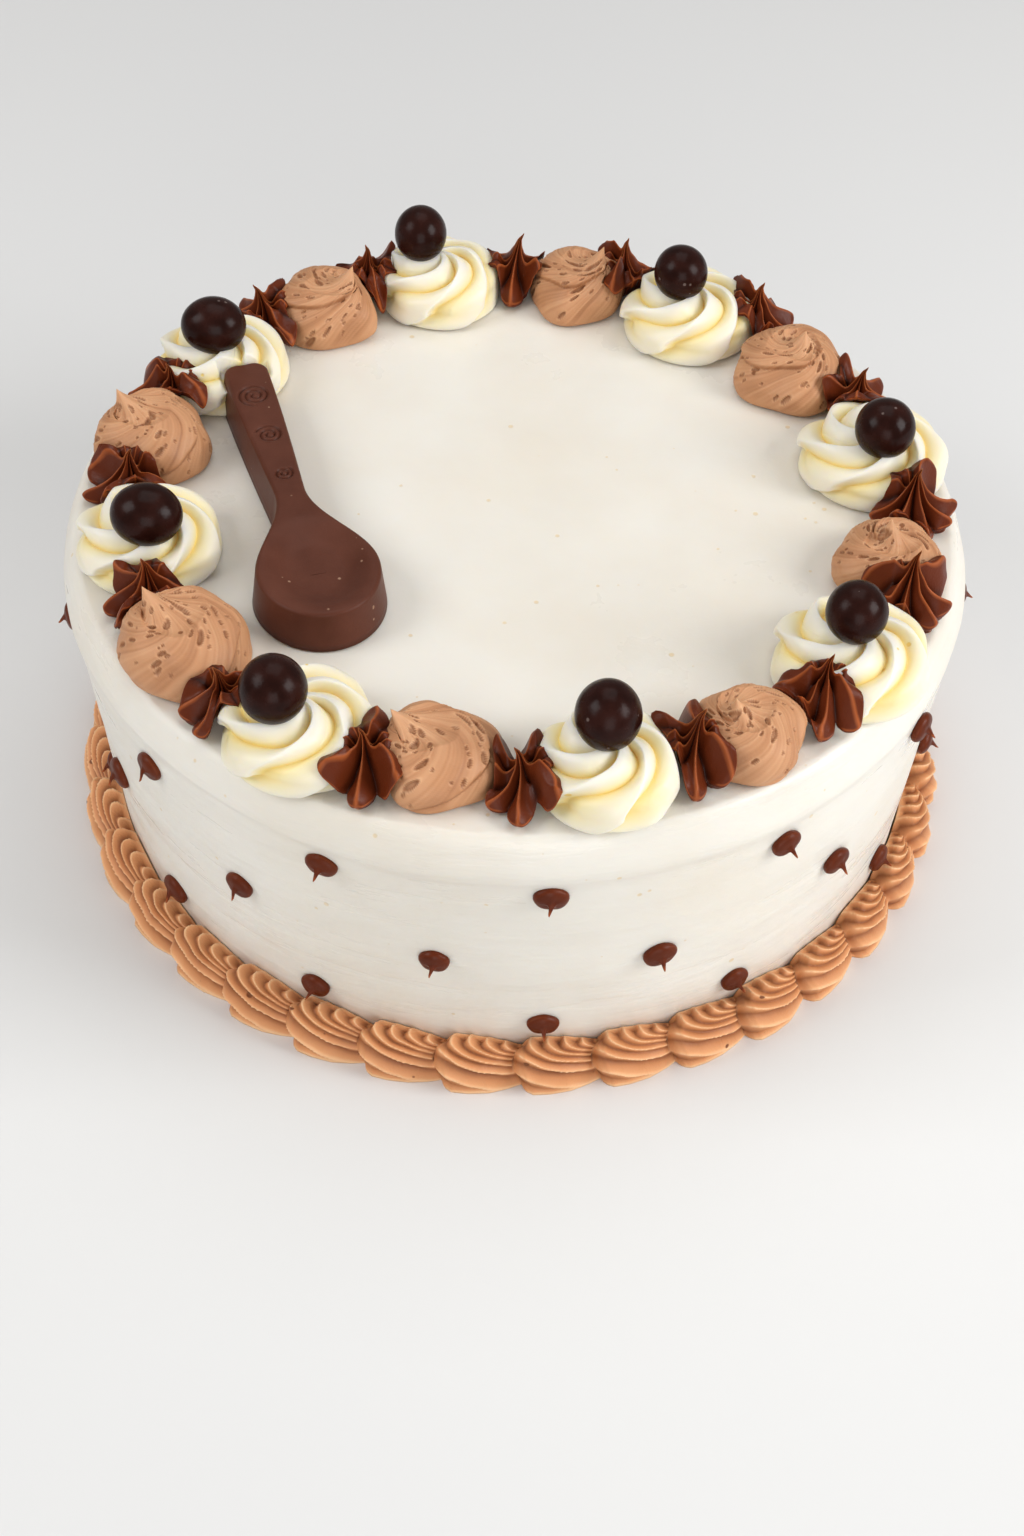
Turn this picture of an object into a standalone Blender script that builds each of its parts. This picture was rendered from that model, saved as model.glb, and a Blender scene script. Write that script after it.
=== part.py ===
"""An iced layer cake: tapered body, shell border, piped ring with coated balls, chocolate spoon.

Metres, +Z up. The origin is on the cake's axis, in the plane it stands on, and -Y is its front.
"""
import math
import random

import bmesh
import bpy
from mathutils import Matrix, Vector

MM = 0.001
FULL_TURN = 2.0 * math.pi
QUARTER_TURN = 0.5 * math.pi

# Air left between pieces, how near two heights count as the same, how far a cutter's foot runs on down,
# and the edges that are shaded as sharp
GAP = 0.3 * MM
NO_DISTANCE = 0.01 * MM
CUTTER_FOOT = -2.0 * MM
SHARP_FROM = math.radians(35.0)

# Cake body: an eight inch sponge under icing, a little wider at the top than at the base
BASE_RADIUS = 100.0 * MM
WIDEST_RADIUS = 107.9 * MM
WIDEST_HEIGHT = 74.0 * MM
CAKE_HEIGHT = 83.7 * MM
RIM_RADIUS = 103.4 * MM
SHOULDER_STEPS = 3
BODY_SIDES = 60
WALL_WAVE = 0.5 * MM

# Chocolate drops on the wall, in three staggered rows. Each row: height, share of a step that it is set
# back, and the steps of its drops that stand off their even place, in degrees round and in height
DROPS_PER_ROW = 13
DROP_ROWS = (
    (67.0 * MM, 0.0, {1: (2.0, -1.0 * MM), 11: (1.0, -1.0 * MM), 12: (0.5, 0.5 * MM)}),
    (40.5 * MM, 0.5, {1: (0.5, -1.5 * MM), 2: (-0.5, 3.0 * MM), 11: (1.5, 0.0), 12: (1.0, 3.5 * MM)}),
    (16.6 * MM, 0.0, {1: (-1.0, -0.3 * MM), 2: (2.0, 0.0), 11: (-1.0, 0.4 * MM), 12: (-3.0, 0.0)}),
)
DROP_UNEVEN = (1.5, 0.8 * MM)
FIRST_DROP_ANGLE = math.radians(-85.0)
DROP_RADIUS = 3.9 * MM
DROP_SIZES = (0.93, 1.07)
DROP_NARROWNESS = 0.88
DROP_DEPTH = 2.6 * MM
DROP_FLATNESS = 0.6
DROP_TAIL = 2.0 * MM
DROP_DROOP = 1.6 * MM
DROP_SWAY = 1.0 * MM
DROP_SIDES = 6
DROP_RINGS = 4

# Shell border round the foot of the wall
SHELL_COUNT = 36
FIRST_SHELL_ANGLE = math.radians(2.0)
SHELL_WIDTH = 10.9 * MM
SHELL_HEIGHT = 13.6 * MM
SHELL_INNER_HEIGHT = 10.6 * MM
SHELL_RIDGE_DEPTH = 1.1 * MM
SHELL_SIZES = (0.96, 1.02)
# The section: shares of the width at its middle and foot, share of the height at its waist, and the arc
# from the outer waist over the crest to the wall
SHELL_MIDDLE = 0.47
SHELL_FOOT = 0.90
SHELL_WAIST = 0.30
SHELL_ARC = (math.radians(-12.0), math.radians(140.0))
SHELL_FOOT_EDGE = 0.6 * MM
# Along one shell, from its fat head to its thin tail: place in the pitch, share of full size
SHELL_STATIONS = ((0.00, 0.66), (0.10, 0.92), (0.30, 1.00), (0.58, 0.95), (0.84, 0.78))
SHELL_CREST_POINTS = 7

# Piped ring on top: rosettes and dollops in turn, a fudge star between each pair
RING_COUNT = 8
RING_RADIUS = 90.0 * MM
NEIGHBOUR_REACH = 40.0 * MM
FIRST_ROSETTE_ANGLE = math.radians(238.0)

# Hand piping is uneven. Each row: drift round the ring in degrees, drift outwards, diameter, height,
# and for a dollop the place of its pulled-off peak, from the middle of its foot
ROSETTES = (
    (1.5, 1.5, 36.5, 13.5), (0.0, 1.0, 33.5, 14.5), (-2.5, 2.0, 37.5, 13.5), (0.5, -1.5, 37.5, 12.5),
    (2.5, -3.5, 35.5, 13.5), (1.5, -1.0, 33.0, 14.0), (-1.0, 0.5, 35.5, 13.5), (-1.5, -2.0, 36.0, 12.5),
)
DOLLOPS = (
    (-0.5, -3.0, 29.5, 13.0, (-11.0, 2.8, 13.0)), (-1.5, 2.0, 27.0, 13.0, (-3.6, -2.7, 15.0)),
    (-2.5, -0.8, 27.0, 12.0, (-1.0, 1.0, 14.0)), (2.5, -4.0, 29.5, 13.5, (3.0, 0.5, 14.0)),
    (0.5, -2.5, 26.0, 13.0, (6.8, -0.5, 15.0)), (-0.5, -0.3, 27.5, 14.0, (7.8, 0.3, 15.5)),
    (-2.5, 0.7, 29.0, 15.0, (-8.2, 0.4, 17.0)), (0.8, 0.9, 31.5, 15.0, (-9.4, 3.2, 17.0)),
)
ROSETTE_RIDGES = 6
ROSETTE_START = 1.3
ROSETTE_TWIST = math.radians(-105.0)
ROSETTE_RIDGE_DEPTH = 2.0 * MM
ROSETTE_RIDGE_FALL = 0.7
# From the foot up: share of the radius, share of the height, share of the ridge depth
ROSETTE_LEVELS = ((0.93, 0.0, 0.8), (1.0, 0.38, 1.0), (0.80, 0.78, 1.0), (0.42, 0.97, 0.6))
# Across one ridge, counter-clockwise: crest, crease close under its edge, long slope up to the next crest
RIDGE_PROFILE = (0.0, -1.0, -0.75, -0.4)

DOLLOP_SIDES = 16
DOLLOP_LEVELS = ((0.93, 0.0), (1.0, 0.25), (0.83, 0.62), (0.47, 0.88))
DOLLOP_LEAN = 0.5
DOLLOP_SWIRL = 0.5
DOLLOP_UNEVEN = 0.05

STAR_RADIUS = 10.4 * MM
STAR_RING_RADIUS = 94.0 * MM
STAR_FINS = 8
# From the foot up: share of the radius at a fin, at the groove beside it, share of the height,
# and how much higher a fin lies where it drapes over the swirl beside it
STAR_LEVELS = (
    (0.90, 0.55, 0.0, 0.0), (1.0, 0.52, 0.22, 0.28), (0.60, 0.29, 0.48, 0.16), (0.24, 0.13, 0.78, 0.03),
)
STAR_GAP = 0.4 * MM
# Each row: how far the star stands off the middle of its two neighbours, in degrees round the ring and
# outwards, its height, the direction of one fin in degrees, and how far its tip leans sideways
STARS = (
    (1.0, -0.5, 14.5, 36.0, -1.2), (0.5, -2.0, 13.5, 38.0, -2.1), (1.5, -2.0, 18.0, 4.0, 1.8),
    (2.0, 0.0, 17.0, 40.0, 0.8), (4.0, 1.0, 18.5, 37.0, 1.3), (0.5, 0.0, 15.0, 15.0, 0.6),
    (1.0, -1.0, 14.0, 7.0, 2.0), (2.0, 1.0, 15.5, 18.0, 1.4), (3.0, -1.0, 17.5, 28.0, 0.2),
    (-1.0, -3.0, 17.0, 41.0, 1.9), (0.5, 0.5, 16.0, 17.0, -0.2), (-2.5, 1.0, 14.5, 38.0, -2.8),
    (-1.5, 0.0, 12.5, 3.0, -1.2), (-2.0, -1.0, 13.5, 20.0, 0.2), (0.3, -2.6, 15.5, 14.0, -0.8),
    (0.5, 1.0, 14.5, 12.0, -1.6),
)

# Coated balls: width, thickness, seat height of the centre, shift from the rosette sideways and back
BALLS = (
    (15.8, 15.6, 17.0, -4.9, -1.0), (15.4, 15.8, 19.0, -0.2, 1.6), (14.8, 14.6, 18.0, -0.3, 0.2),
    (15.4, 14.8, 15.5, 1.5, -4.4), (14.5, 14.2, 17.0, -2.6, 0.2), (14.2, 14.8, 18.0, -4.7, 2.0),
    (17.2, 14.4, 16.5, -0.8, -0.5), (17.8, 14.9, 15.5, 1.0, -4.8),
)
BALL_SIDES = 10
BALL_RINGS = 6

# Moulded chocolate spoon, lying on the icing
SPOON_LENGTH = 97.0 * MM
SPOON_THICKNESS = 10.3 * MM
SPOON_BOWL_END = Vector((-39.9 * MM, -49.6 * MM, 0.0))
SPOON_DIRECTION = math.radians(107.7)
SPOON_BOWL_WIDTH = 31.0 * MM
SPOON_WIDEST = 17.5 * MM
SPOON_NECK = 46.0 * MM
SPOON_NECK_WIDTH = 9.6 * MM
SPOON_HANDLE_WIDTH = 13.2 * MM
SPOON_END_ROUND = 4.5 * MM
SPOON_DRAFT = 1.1 * MM
SPOON_EDGE_DROP = 0.8 * MM
SPOON_BOWL_STEPS = 5
SPOON_TAPER_STEPS = 6
SPOON_HANDLE_STEPS = 2
SPOON_END_STEPS = 3
BOWL_HOLLOW_RADIUS = 11.5 * MM
BOWL_HOLLOW_DEPTH = 2.2 * MM
BOWL_HOLLOW_MIDDLE = 18.5 * MM
BOWL_HOLLOW_SIDES = 20
BOWL_HOLLOW_RINGS = 24

# The rosette that the end of the spoon's handle lies in
SPOON_ROSETTE = 6


def clear_scene():
    for item in list(bpy.data.objects):
        bpy.data.objects.remove(item, do_unlink=True)


def icing(name, colour, roughness, coat=0.0):
    material = bpy.data.materials.new(name)
    material.use_nodes = True
    shader = material.node_tree.nodes["Principled BSDF"]
    shader.inputs["Base Color"].default_value = (*colour, 1.0)
    shader.inputs["Roughness"].default_value = roughness
    shader.inputs["Metallic"].default_value = 0.0
    shader.inputs["Coat Weight"].default_value = coat
    return material


def place_object(name, mesh_data, material, place=(0.0, 0.0, 0.0)):
    mesh = bpy.data.meshes.new(name)
    mesh_data.to_mesh(mesh)
    mesh_data.free()
    mesh.materials.append(material)
    mesh.shade_smooth()
    mesh.set_sharp_from_angle(angle=SHARP_FROM)
    item = bpy.data.objects.new(name, mesh)
    item.location = place
    bpy.context.scene.collection.objects.link(item)
    return item


def keep_largest_body(mesh):
    """Drops the loose scraps that a cut can leave."""
    shape = bmesh.new()
    shape.from_mesh(mesh)
    unseen = set(shape.verts)
    bodies = []
    while unseen:
        start = unseen.pop()
        body = {start}
        to_visit = [start]
        while to_visit:
            vertex = to_visit.pop()
            for edge in vertex.link_edges:
                other = edge.other_vert(vertex)
                if other in unseen:
                    unseen.remove(other)
                    body.add(other)
                    to_visit.append(other)
        bodies.append(body)
    largest = max(bodies, key=len)
    scraps = [vertex for vertex in shape.verts if vertex not in largest]
    bmesh.ops.delete(shape, geom=scraps, context="VERTS")
    shape.to_mesh(mesh)
    shape.free()


def combine(target, others, operation, solver="EXACT"):
    """Applies one Boolean per other object and removes those objects."""
    for index, other in enumerate(others):
        step = target.modifiers.new(f"step_{index}", "BOOLEAN")
        step.operation = operation
        step.solver = solver
        step.object = other
        other.hide_render = True
        other.display_type = "WIRE"
    view = bpy.context.evaluated_depsgraph_get()
    result = bpy.data.meshes.new_from_object(target.evaluated_get(view))
    keep_largest_body(result)
    target.modifiers.clear()
    target.data = result
    for other in others:
        bpy.data.objects.remove(other, do_unlink=True)


def as_cutter(shape, place, turn=0.0):
    mesh = bpy.data.meshes.new("cutter")
    shape.to_mesh(mesh)
    shape.free()
    cutter = bpy.data.objects.new("cutter", mesh)
    cutter.location = place
    cutter.rotation_euler.z = turn
    bpy.context.scene.collection.objects.link(cutter)
    return cutter


def grown_by_scale(item, gap):
    """A cutter: the object's own round shape, larger all round by the gap, with its foot run lower."""
    shape = bmesh.new()
    shape.from_mesh(item.data)
    half_width = min(max(abs(vertex.co[axis]) for vertex in shape.verts) for axis in (0, 1))
    height = max(vertex.co.z for vertex in shape.verts)
    foot = min(vertex.co.z for vertex in shape.verts)
    wider = 1.0 + gap / half_width
    bmesh.ops.scale(shape, verts=shape.verts, vec=(wider, wider, 1.0 + gap / height))
    if foot > -NO_DISTANCE:
        for vertex in shape.verts:
            if vertex.co.z < NO_DISTANCE:
                vertex.co.z = CUTTER_FOOT
    return as_cutter(shape, item.location)


def grown_along_normals(item, gap):
    """A cutter: the object's own flat-sided shape, pushed out along its normals."""
    shape = bmesh.new()
    shape.from_mesh(item.data)
    shape.normal_update()
    pushes = [vertex.normal * gap * vertex.calc_shell_factor() for vertex in shape.verts]
    for vertex, push in zip(shape.verts, pushes):
        vertex.co += push
    return as_cutter(shape, item.location, item.rotation_euler.z)


def wall_radius(height):
    """Radius of the wall below its widest line."""
    share = min(height / WIDEST_HEIGHT, 1.0)
    return BASE_RADIUS + (WIDEST_RADIUS - BASE_RADIUS) * share


def body_profile():
    """Half section from the top's middle down to the base's middle."""
    points = [Vector((0.0, 0.0, CAKE_HEIGHT)), Vector((RIM_RADIUS, 0.0, CAKE_HEIGHT))]
    rise = CAKE_HEIGHT - WIDEST_HEIGHT
    for step in range(1, SHOULDER_STEPS + 1):
        turn = QUARTER_TURN * step / SHOULDER_STEPS
        radius = RIM_RADIUS + (WIDEST_RADIUS - RIM_RADIUS) * math.sin(turn)
        points.append(Vector((radius, 0.0, WIDEST_HEIGHT + rise * math.cos(turn))))
    points.append(Vector((BASE_RADIUS, 0.0, 0.0)))
    points.append(Vector((0.0, 0.0, 0.0)))
    return points


def make_body(material):
    shape = bmesh.new()
    corners = [shape.verts.new(point) for point in body_profile()]
    edges = [shape.edges.new(pair) for pair in zip(corners, corners[1:])]
    bmesh.ops.spin(shape, geom=corners + edges, cent=(0.0, 0.0, 0.0), axis=(0.0, 0.0, 1.0),
                   angle=FULL_TURN, steps=BODY_SIDES, use_merge=True, use_duplicate=False)
    bmesh.ops.remove_doubles(shape, verts=shape.verts, dist=NO_DISTANCE)
    bmesh.ops.recalc_face_normals(shape, faces=shape.faces)
    for vertex in shape.verts:
        height_share = vertex.co.z / CAKE_HEIGHT
        around = math.atan2(vertex.co.y, vertex.co.x)
        wave = WALL_WAVE * height_share * (0.5 * math.sin(3.0 * around) - math.cos(around))
        if vertex.co.xy.length > WALL_WAVE:
            vertex.co.xy *= 1.0 + wave / vertex.co.xy.length
    return place_object("cake_body", shape, material)


def drop_frame(angle, height):
    """Stands on the wall: local +Z points out of it, local -Y down it."""
    slope = math.atan2(WIDEST_RADIUS - BASE_RADIUS, WIDEST_HEIGHT)
    level = Vector((math.cos(angle), math.sin(angle), 0.0))
    outwards = level * math.cos(slope) - Vector((0.0, 0.0, math.sin(slope)))
    sideways = Vector((-math.sin(angle), math.cos(angle), 0.0))
    upwards = outwards.cross(sideways)
    place = level * wall_radius(height)
    place.z = height
    frame = Matrix((sideways, upwards, outwards)).transposed().to_4x4()
    frame.translation = place
    return frame


def make_drops(dice, material):
    """All the wall drops in one mesh: flattened domes, each with its tail pulled out and down."""
    shape = bmesh.new()
    pitch = FULL_TURN / DROPS_PER_ROW
    for height, stagger, drifts in DROP_ROWS:
        for count in range(DROPS_PER_ROW):
            random_drift = [dice.uniform(-reach, reach) for reach in DROP_UNEVEN]
            around, upwards = drifts.get(count, (0.0, 0.0) if count == 0 else random_drift)
            angle = FIRST_DROP_ANGLE + pitch * (count - stagger) + math.radians(around)
            frame = drop_frame(angle, max(height + upwards, DROP_ROWS[-1][0]))
            ball = bmesh.ops.create_uvsphere(shape, u_segments=DROP_SIDES, v_segments=DROP_RINGS, radius=1.0)
            wide = DROP_RADIUS * dice.uniform(*DROP_SIZES)
            tail = max(ball["verts"], key=lambda vertex: vertex.co.z)
            sway = dice.uniform(-DROP_SWAY, DROP_SWAY)
            for vertex in ball["verts"]:
                out = math.copysign(abs(vertex.co.z) ** DROP_FLATNESS, vertex.co.z) * DROP_DEPTH
                spot = Vector((vertex.co.x * wide, vertex.co.y * wide * DROP_NARROWNESS, out))
                if vertex is tail:
                    spot = Vector((sway, -DROP_DROOP, DROP_DEPTH + DROP_TAIL))
                vertex.co = frame @ spot
    return place_object("drops", shape, material)


def shell_point(angle, share, size, ridge):
    """A point of a shell's section: share runs from the outer waist over the crest to the wall."""
    width = SHELL_WIDTH * size
    height = SHELL_HEIGHT * size
    turn = SHELL_ARC[0] + (SHELL_ARC[1] - SHELL_ARC[0]) * share
    middle = SHELL_MIDDLE * width
    reach = 1.0 - ridge * SHELL_RIDGE_DEPTH / (0.5 * width)
    radius = wall_radius(0.0) + GAP + middle + (width - middle) * math.cos(turn) * reach
    level = SHELL_WAIST * height + (1.0 - SHELL_WAIST) * height * math.sin(turn) * reach
    radius = max(radius, wall_radius(level) + GAP)
    return Vector((radius * math.cos(angle), radius * math.sin(angle), max(level, SHELL_FOOT_EDGE)))


def shell_section(angle, size):
    """Closed outline of the border, from the wall's foot outwards and back over the top."""
    direction = Vector((math.cos(angle), math.sin(angle), 0.0))
    foot = direction * (wall_radius(0.0) + GAP)
    outline = [foot, foot + direction * SHELL_WIDTH * size * SHELL_FOOT]
    for index in range(SHELL_CREST_POINTS):
        outline.append(shell_point(angle, index / (SHELL_CREST_POINTS - 1), size, index % 2))
    top_level = SHELL_INNER_HEIGHT * size
    inner_top = direction * (wall_radius(top_level) + GAP)
    inner_top.z = top_level
    return outline + [inner_top]


def make_border(dice, material):
    shape = bmesh.new()
    sections = []
    pitch = FULL_TURN / SHELL_COUNT
    for count in range(SHELL_COUNT):
        fullness = dice.uniform(*SHELL_SIZES)
        for station, size in SHELL_STATIONS:
            angle = FIRST_SHELL_ANGLE + pitch * (count + station)
            sections.append([shape.verts.new(point) for point in shell_section(angle, size * fullness)])
    for section, following in zip(sections, sections[1:] + sections[:1]):
        ring = zip(section, section[1:] + section[:1], following[1:] + following[:1], following)
        for corners in ring:
            shape.faces.new(corners)
    bmesh.ops.recalc_face_normals(shape, faces=shape.faces)
    return place_object("shell_border", shape, material)


def mound(name, sides, levels, place_point, material, place):
    """A piped heap: a sphere's rings and columns moved to where place_point puts them."""
    shape = bmesh.new()
    made = bmesh.ops.create_uvsphere(shape, u_segments=sides, v_segments=levels + 1, radius=1.0)
    for vertex in made["verts"]:
        latitude = math.asin(max(-1.0, min(1.0, vertex.co.z)))
        rung = round((QUARTER_TURN + latitude) / math.pi * (levels + 1))
        column = round(math.atan2(vertex.co.y, vertex.co.x) / FULL_TURN * sides) % sides
        vertex.co = place_point(column, rung)
    bmesh.ops.triangulate(shape, faces=shape.faces)
    return place_object(name, shape, material, place)


def ring_place(angle, radius):
    return Vector((radius * math.cos(angle), radius * math.sin(angle), CAKE_HEIGHT + GAP))


def make_rosette(index, material):
    drift, outwards, diameter, height = ROSETTES[index]
    angle = FIRST_ROSETTE_ANGLE + FULL_TURN * index / RING_COUNT + math.radians(drift)
    sides = ROSETTE_RIDGES * len(RIDGE_PROFILE)
    start = ROSETTE_START * index

    def point(column, rung):
        if rung == 0:
            return Vector((0.0, 0.0, 0.0))
        if rung > len(ROSETTE_LEVELS):
            return Vector((0.0, 0.0, height * MM))
        wide, high, depth = ROSETTE_LEVELS[rung - 1]
        ridge = RIDGE_PROFILE[column % len(RIDGE_PROFILE)] * depth * ROSETTE_RIDGE_DEPTH
        radius = 0.5 * diameter * MM * wide + ridge
        turn = start + FULL_TURN * column / sides + ROSETTE_TWIST * wide
        level = high * (height * MM + ROSETTE_RIDGE_FALL * ridge)
        return Vector((radius * math.cos(turn), radius * math.sin(turn), level))

    place = ring_place(angle, RING_RADIUS + outwards * MM)
    return mound(f"rosette_{index + 1}", sides, len(ROSETTE_LEVELS), point, material, place), angle


def make_dollop(index, dice, material):
    drift, outwards, diameter, height, peak = DOLLOPS[index]
    angle = FIRST_ROSETTE_ANGLE + FULL_TURN * (index + 0.5) / RING_COUNT + math.radians(drift)
    phase = dice.uniform(0.0, FULL_TURN)
    peak = Vector(peak) * MM

    def point(column, rung):
        if rung == 0:
            return Vector((0.0, 0.0, 0.0))
        if rung > len(DOLLOP_LEVELS):
            return peak
        wide, high = DOLLOP_LEVELS[rung - 1]
        turn = FULL_TURN * column / DOLLOP_SIDES + DOLLOP_SWIRL * high
        bulge = DOLLOP_UNEVEN * (math.sin(3.0 * turn + phase) + 0.6 * math.sin(5.0 * turn - phase) - 1.0)
        radius = 0.5 * diameter * MM * wide * (1.0 + bulge)
        spot = Vector((radius * math.cos(turn), radius * math.sin(turn), height * MM * high))
        return spot + Vector((peak.x, peak.y, 0.0)) * DOLLOP_LEAN * high ** 3

    place = ring_place(angle, RING_RADIUS + outwards * MM)
    return mound(f"dollop_{index + 1}", DOLLOP_SIDES, len(DOLLOP_LEVELS), point, material, place), angle


def make_star(index, angle, material):
    drift, outwards, height, fin_direction, tip_lean = STARS[index]

    def point(column, rung):
        if rung == 0:
            return Vector((0.0, 0.0, 0.0))
        if rung > len(STAR_LEVELS):
            return Vector((tip_lean, 0.0, height)) * MM
        fin, groove, high, drape = STAR_LEVELS[rung - 1]
        radius = STAR_RADIUS * (groove if column % 2 else fin)
        turn = math.radians(fin_direction) + math.pi * column / STAR_FINS
        level = height * MM * (high + drape * math.sin(turn - angle) ** 2)
        lean = tip_lean * MM * high ** 2
        return Vector((radius * math.cos(turn) + lean, radius * math.sin(turn), level))

    place = ring_place(angle, STAR_RING_RADIUS + outwards * MM)
    return mound(f"fudge_star_{index + 1}", 2 * STAR_FINS, len(STAR_LEVELS), point, material, place)


def make_ball(index, rosette, material):
    width, thickness, seat, sideways, back = BALLS[index]
    shape = bmesh.new()
    bmesh.ops.create_uvsphere(shape, u_segments=BALL_SIDES, v_segments=BALL_RINGS, radius=0.5)
    bmesh.ops.scale(shape, verts=shape.verts, vec=(width * MM, thickness * MM, thickness * MM))
    place = rosette.location + Vector((sideways, back, seat)) * MM
    return place_object(f"chocolate_ball_{index + 1}", shape, material, place)


def spoon_half_width(along):
    """Half the spoon's width at a distance from the tip of its bowl: round, pear shaped, then the handle."""
    bowl = 0.5 * SPOON_BOWL_WIDTH
    neck = 0.5 * SPOON_NECK_WIDTH
    if along < SPOON_WIDEST:
        return bowl * math.sqrt(1.0 - (1.0 - along / SPOON_WIDEST) ** 2)
    if along < SPOON_NECK:
        run = (along - SPOON_WIDEST) / (SPOON_NECK - SPOON_WIDEST)
        return neck + 0.5 * (bowl - neck) * (1.0 + math.cos(math.pi * run))
    run = (along - SPOON_NECK) / (SPOON_LENGTH - SPOON_NECK)
    handle = neck + (0.5 * SPOON_HANDLE_WIDTH - neck) * math.sin(QUARTER_TURN * run)
    into_end = max(0.0, along - (SPOON_LENGTH - SPOON_END_ROUND))
    return handle - SPOON_END_ROUND + math.sqrt(max(0.0, SPOON_END_ROUND ** 2 - into_end ** 2))


def spoon_stops():
    """Distances from the bowl's tip at which the outline has a point."""
    stops = []
    for step in range(1, SPOON_BOWL_STEPS + 1):
        stops.append(SPOON_WIDEST * (1.0 - math.cos(QUARTER_TURN * step / SPOON_BOWL_STEPS)))
    for step in range(1, SPOON_TAPER_STEPS + 1):
        stops.append(SPOON_WIDEST + (SPOON_NECK - SPOON_WIDEST) * step / SPOON_TAPER_STEPS)
    straight_end = SPOON_LENGTH - SPOON_END_ROUND
    for step in range(1, SPOON_HANDLE_STEPS + 1):
        stops.append(SPOON_NECK + (straight_end - SPOON_NECK) * step / SPOON_HANDLE_STEPS)
    for step in range(1, SPOON_END_STEPS + 1):
        stops.append(straight_end + SPOON_END_ROUND * math.sin(QUARTER_TURN * step / SPOON_END_STEPS))
    return stops


def spoon_outline():
    """Closed outline in the spoon's own plane, up one edge and down the other."""
    edge = [(stop, spoon_half_width(stop)) for stop in spoon_stops()]
    right = [Vector((along, -half, 0.0)) for along, half in edge]
    left = [Vector((along, half, 0.0)) for along, half in reversed(edge)]
    return [Vector((0.0, 0.0, 0.0))] + right + left


def make_spoon(material):
    shape = bmesh.new()
    floor = shape.faces.new([shape.verts.new(point) for point in spoon_outline()])
    raised = bmesh.ops.extrude_face_region(shape, geom=[floor])
    lid = [part for part in raised["geom"] if isinstance(part, bmesh.types.BMFace)]
    lifted = [part for part in raised["geom"] if isinstance(part, bmesh.types.BMVert)]
    bmesh.ops.translate(shape, verts=lifted, vec=(0.0, 0.0, SPOON_THICKNESS))
    bmesh.ops.recalc_face_normals(shape, faces=shape.faces)
    bmesh.ops.inset_region(shape, faces=lid, thickness=SPOON_DRAFT, use_even_offset=True)
    for vertex in lifted:
        vertex.co.z -= SPOON_EDGE_DROP
    place = SPOON_BOWL_END + Vector((0.0, 0.0, CAKE_HEIGHT + GAP))
    spoon = place_object("chocolate_spoon", shape, material, place)
    spoon.rotation_euler.z = SPOON_DIRECTION
    return spoon


def make_bowl_hollow():
    """A cutter for the spoon's bowl: the cap of a large ball, as deep as the hollow."""
    ball_radius = (BOWL_HOLLOW_RADIUS ** 2 + BOWL_HOLLOW_DEPTH ** 2) / (2.0 * BOWL_HOLLOW_DEPTH)
    shape = bmesh.new()
    bmesh.ops.create_uvsphere(
        shape, u_segments=BOWL_HOLLOW_SIDES, v_segments=BOWL_HOLLOW_RINGS, radius=ball_radius)
    direction = Vector((math.cos(SPOON_DIRECTION), math.sin(SPOON_DIRECTION), 0.0))
    place = SPOON_BOWL_END + direction * BOWL_HOLLOW_MIDDLE
    place.z = CAKE_HEIGHT + GAP + SPOON_THICKNESS + ball_radius - BOWL_HOLLOW_DEPTH
    return as_cutter(shape, place)


def near(item, others):
    return [other for other in others if (other.location - item.location).xy.length < NEIGHBOUR_REACH]


def main():
    clear_scene()
    dice = random.Random(12)
    vanilla = icing("vanilla_icing", (0.86, 0.81, 0.70), 0.45)
    buttercream = icing("buttercream", (0.90, 0.84, 0.62), 0.40)
    mocha = icing("mocha_cream", (0.56, 0.33, 0.20), 0.50)
    border_cream = icing("border_cream", (0.52, 0.28, 0.16), 0.50)
    fudge = icing("fudge", (0.12, 0.035, 0.02), 0.32, coat=0.2)
    dark_coating = icing("dark_coating", (0.03, 0.014, 0.012), 0.25, coat=0.4)
    milk_chocolate = icing("milk_chocolate", (0.11, 0.045, 0.03), 0.40)

    body = make_body(vanilla)
    combine(body, [make_drops(dice, fudge)], "UNION")
    make_border(dice, border_cream)

    spoon = make_spoon(milk_chocolate)
    combine(spoon, [make_bowl_hollow()], "DIFFERENCE")

    rosettes = [make_rosette(index, buttercream) for index in range(RING_COUNT)]
    dollops = [make_dollop(index, dice, mocha) for index in range(RING_COUNT)]
    balls = [make_ball(index, rosettes[index][0], dark_coating) for index in range(RING_COUNT)]
    swirls = [swirl for pair in zip(rosettes, dollops) for swirl in pair]
    stars = []
    for index, (before, after) in enumerate(zip(swirls, swirls[1:] + swirls[:1])):
        gap_angle = (after[1] - before[1]) % FULL_TURN
        angle = before[1] + 0.5 * gap_angle + math.radians(STARS[index][0])
        stars.append(make_star(index, angle, fudge))

    rosettes = [rosette for rosette, angle in rosettes]
    dollops = [dollop for dollop, angle in dollops]
    for star in stars:
        grown = [grown_by_scale(other, STAR_GAP) for other in near(star, rosettes + dollops + balls)]
        combine(star, grown, "DIFFERENCE", solver="MANIFOLD")
    for dollop in dollops:
        grown = [grown_by_scale(other, STAR_GAP) for other in near(dollop, rosettes)]
        combine(dollop, grown, "DIFFERENCE")
    for rosette, ball in zip(rosettes, balls):
        combine(rosette, [grown_by_scale(ball, GAP)], "DIFFERENCE")
    combine(rosettes[SPOON_ROSETTE], [grown_along_normals(spoon, GAP)], "DIFFERENCE")


main()
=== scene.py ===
import math
import random

import bmesh
import bpy
import numpy as np
from mathutils import Matrix, Vector


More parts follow.
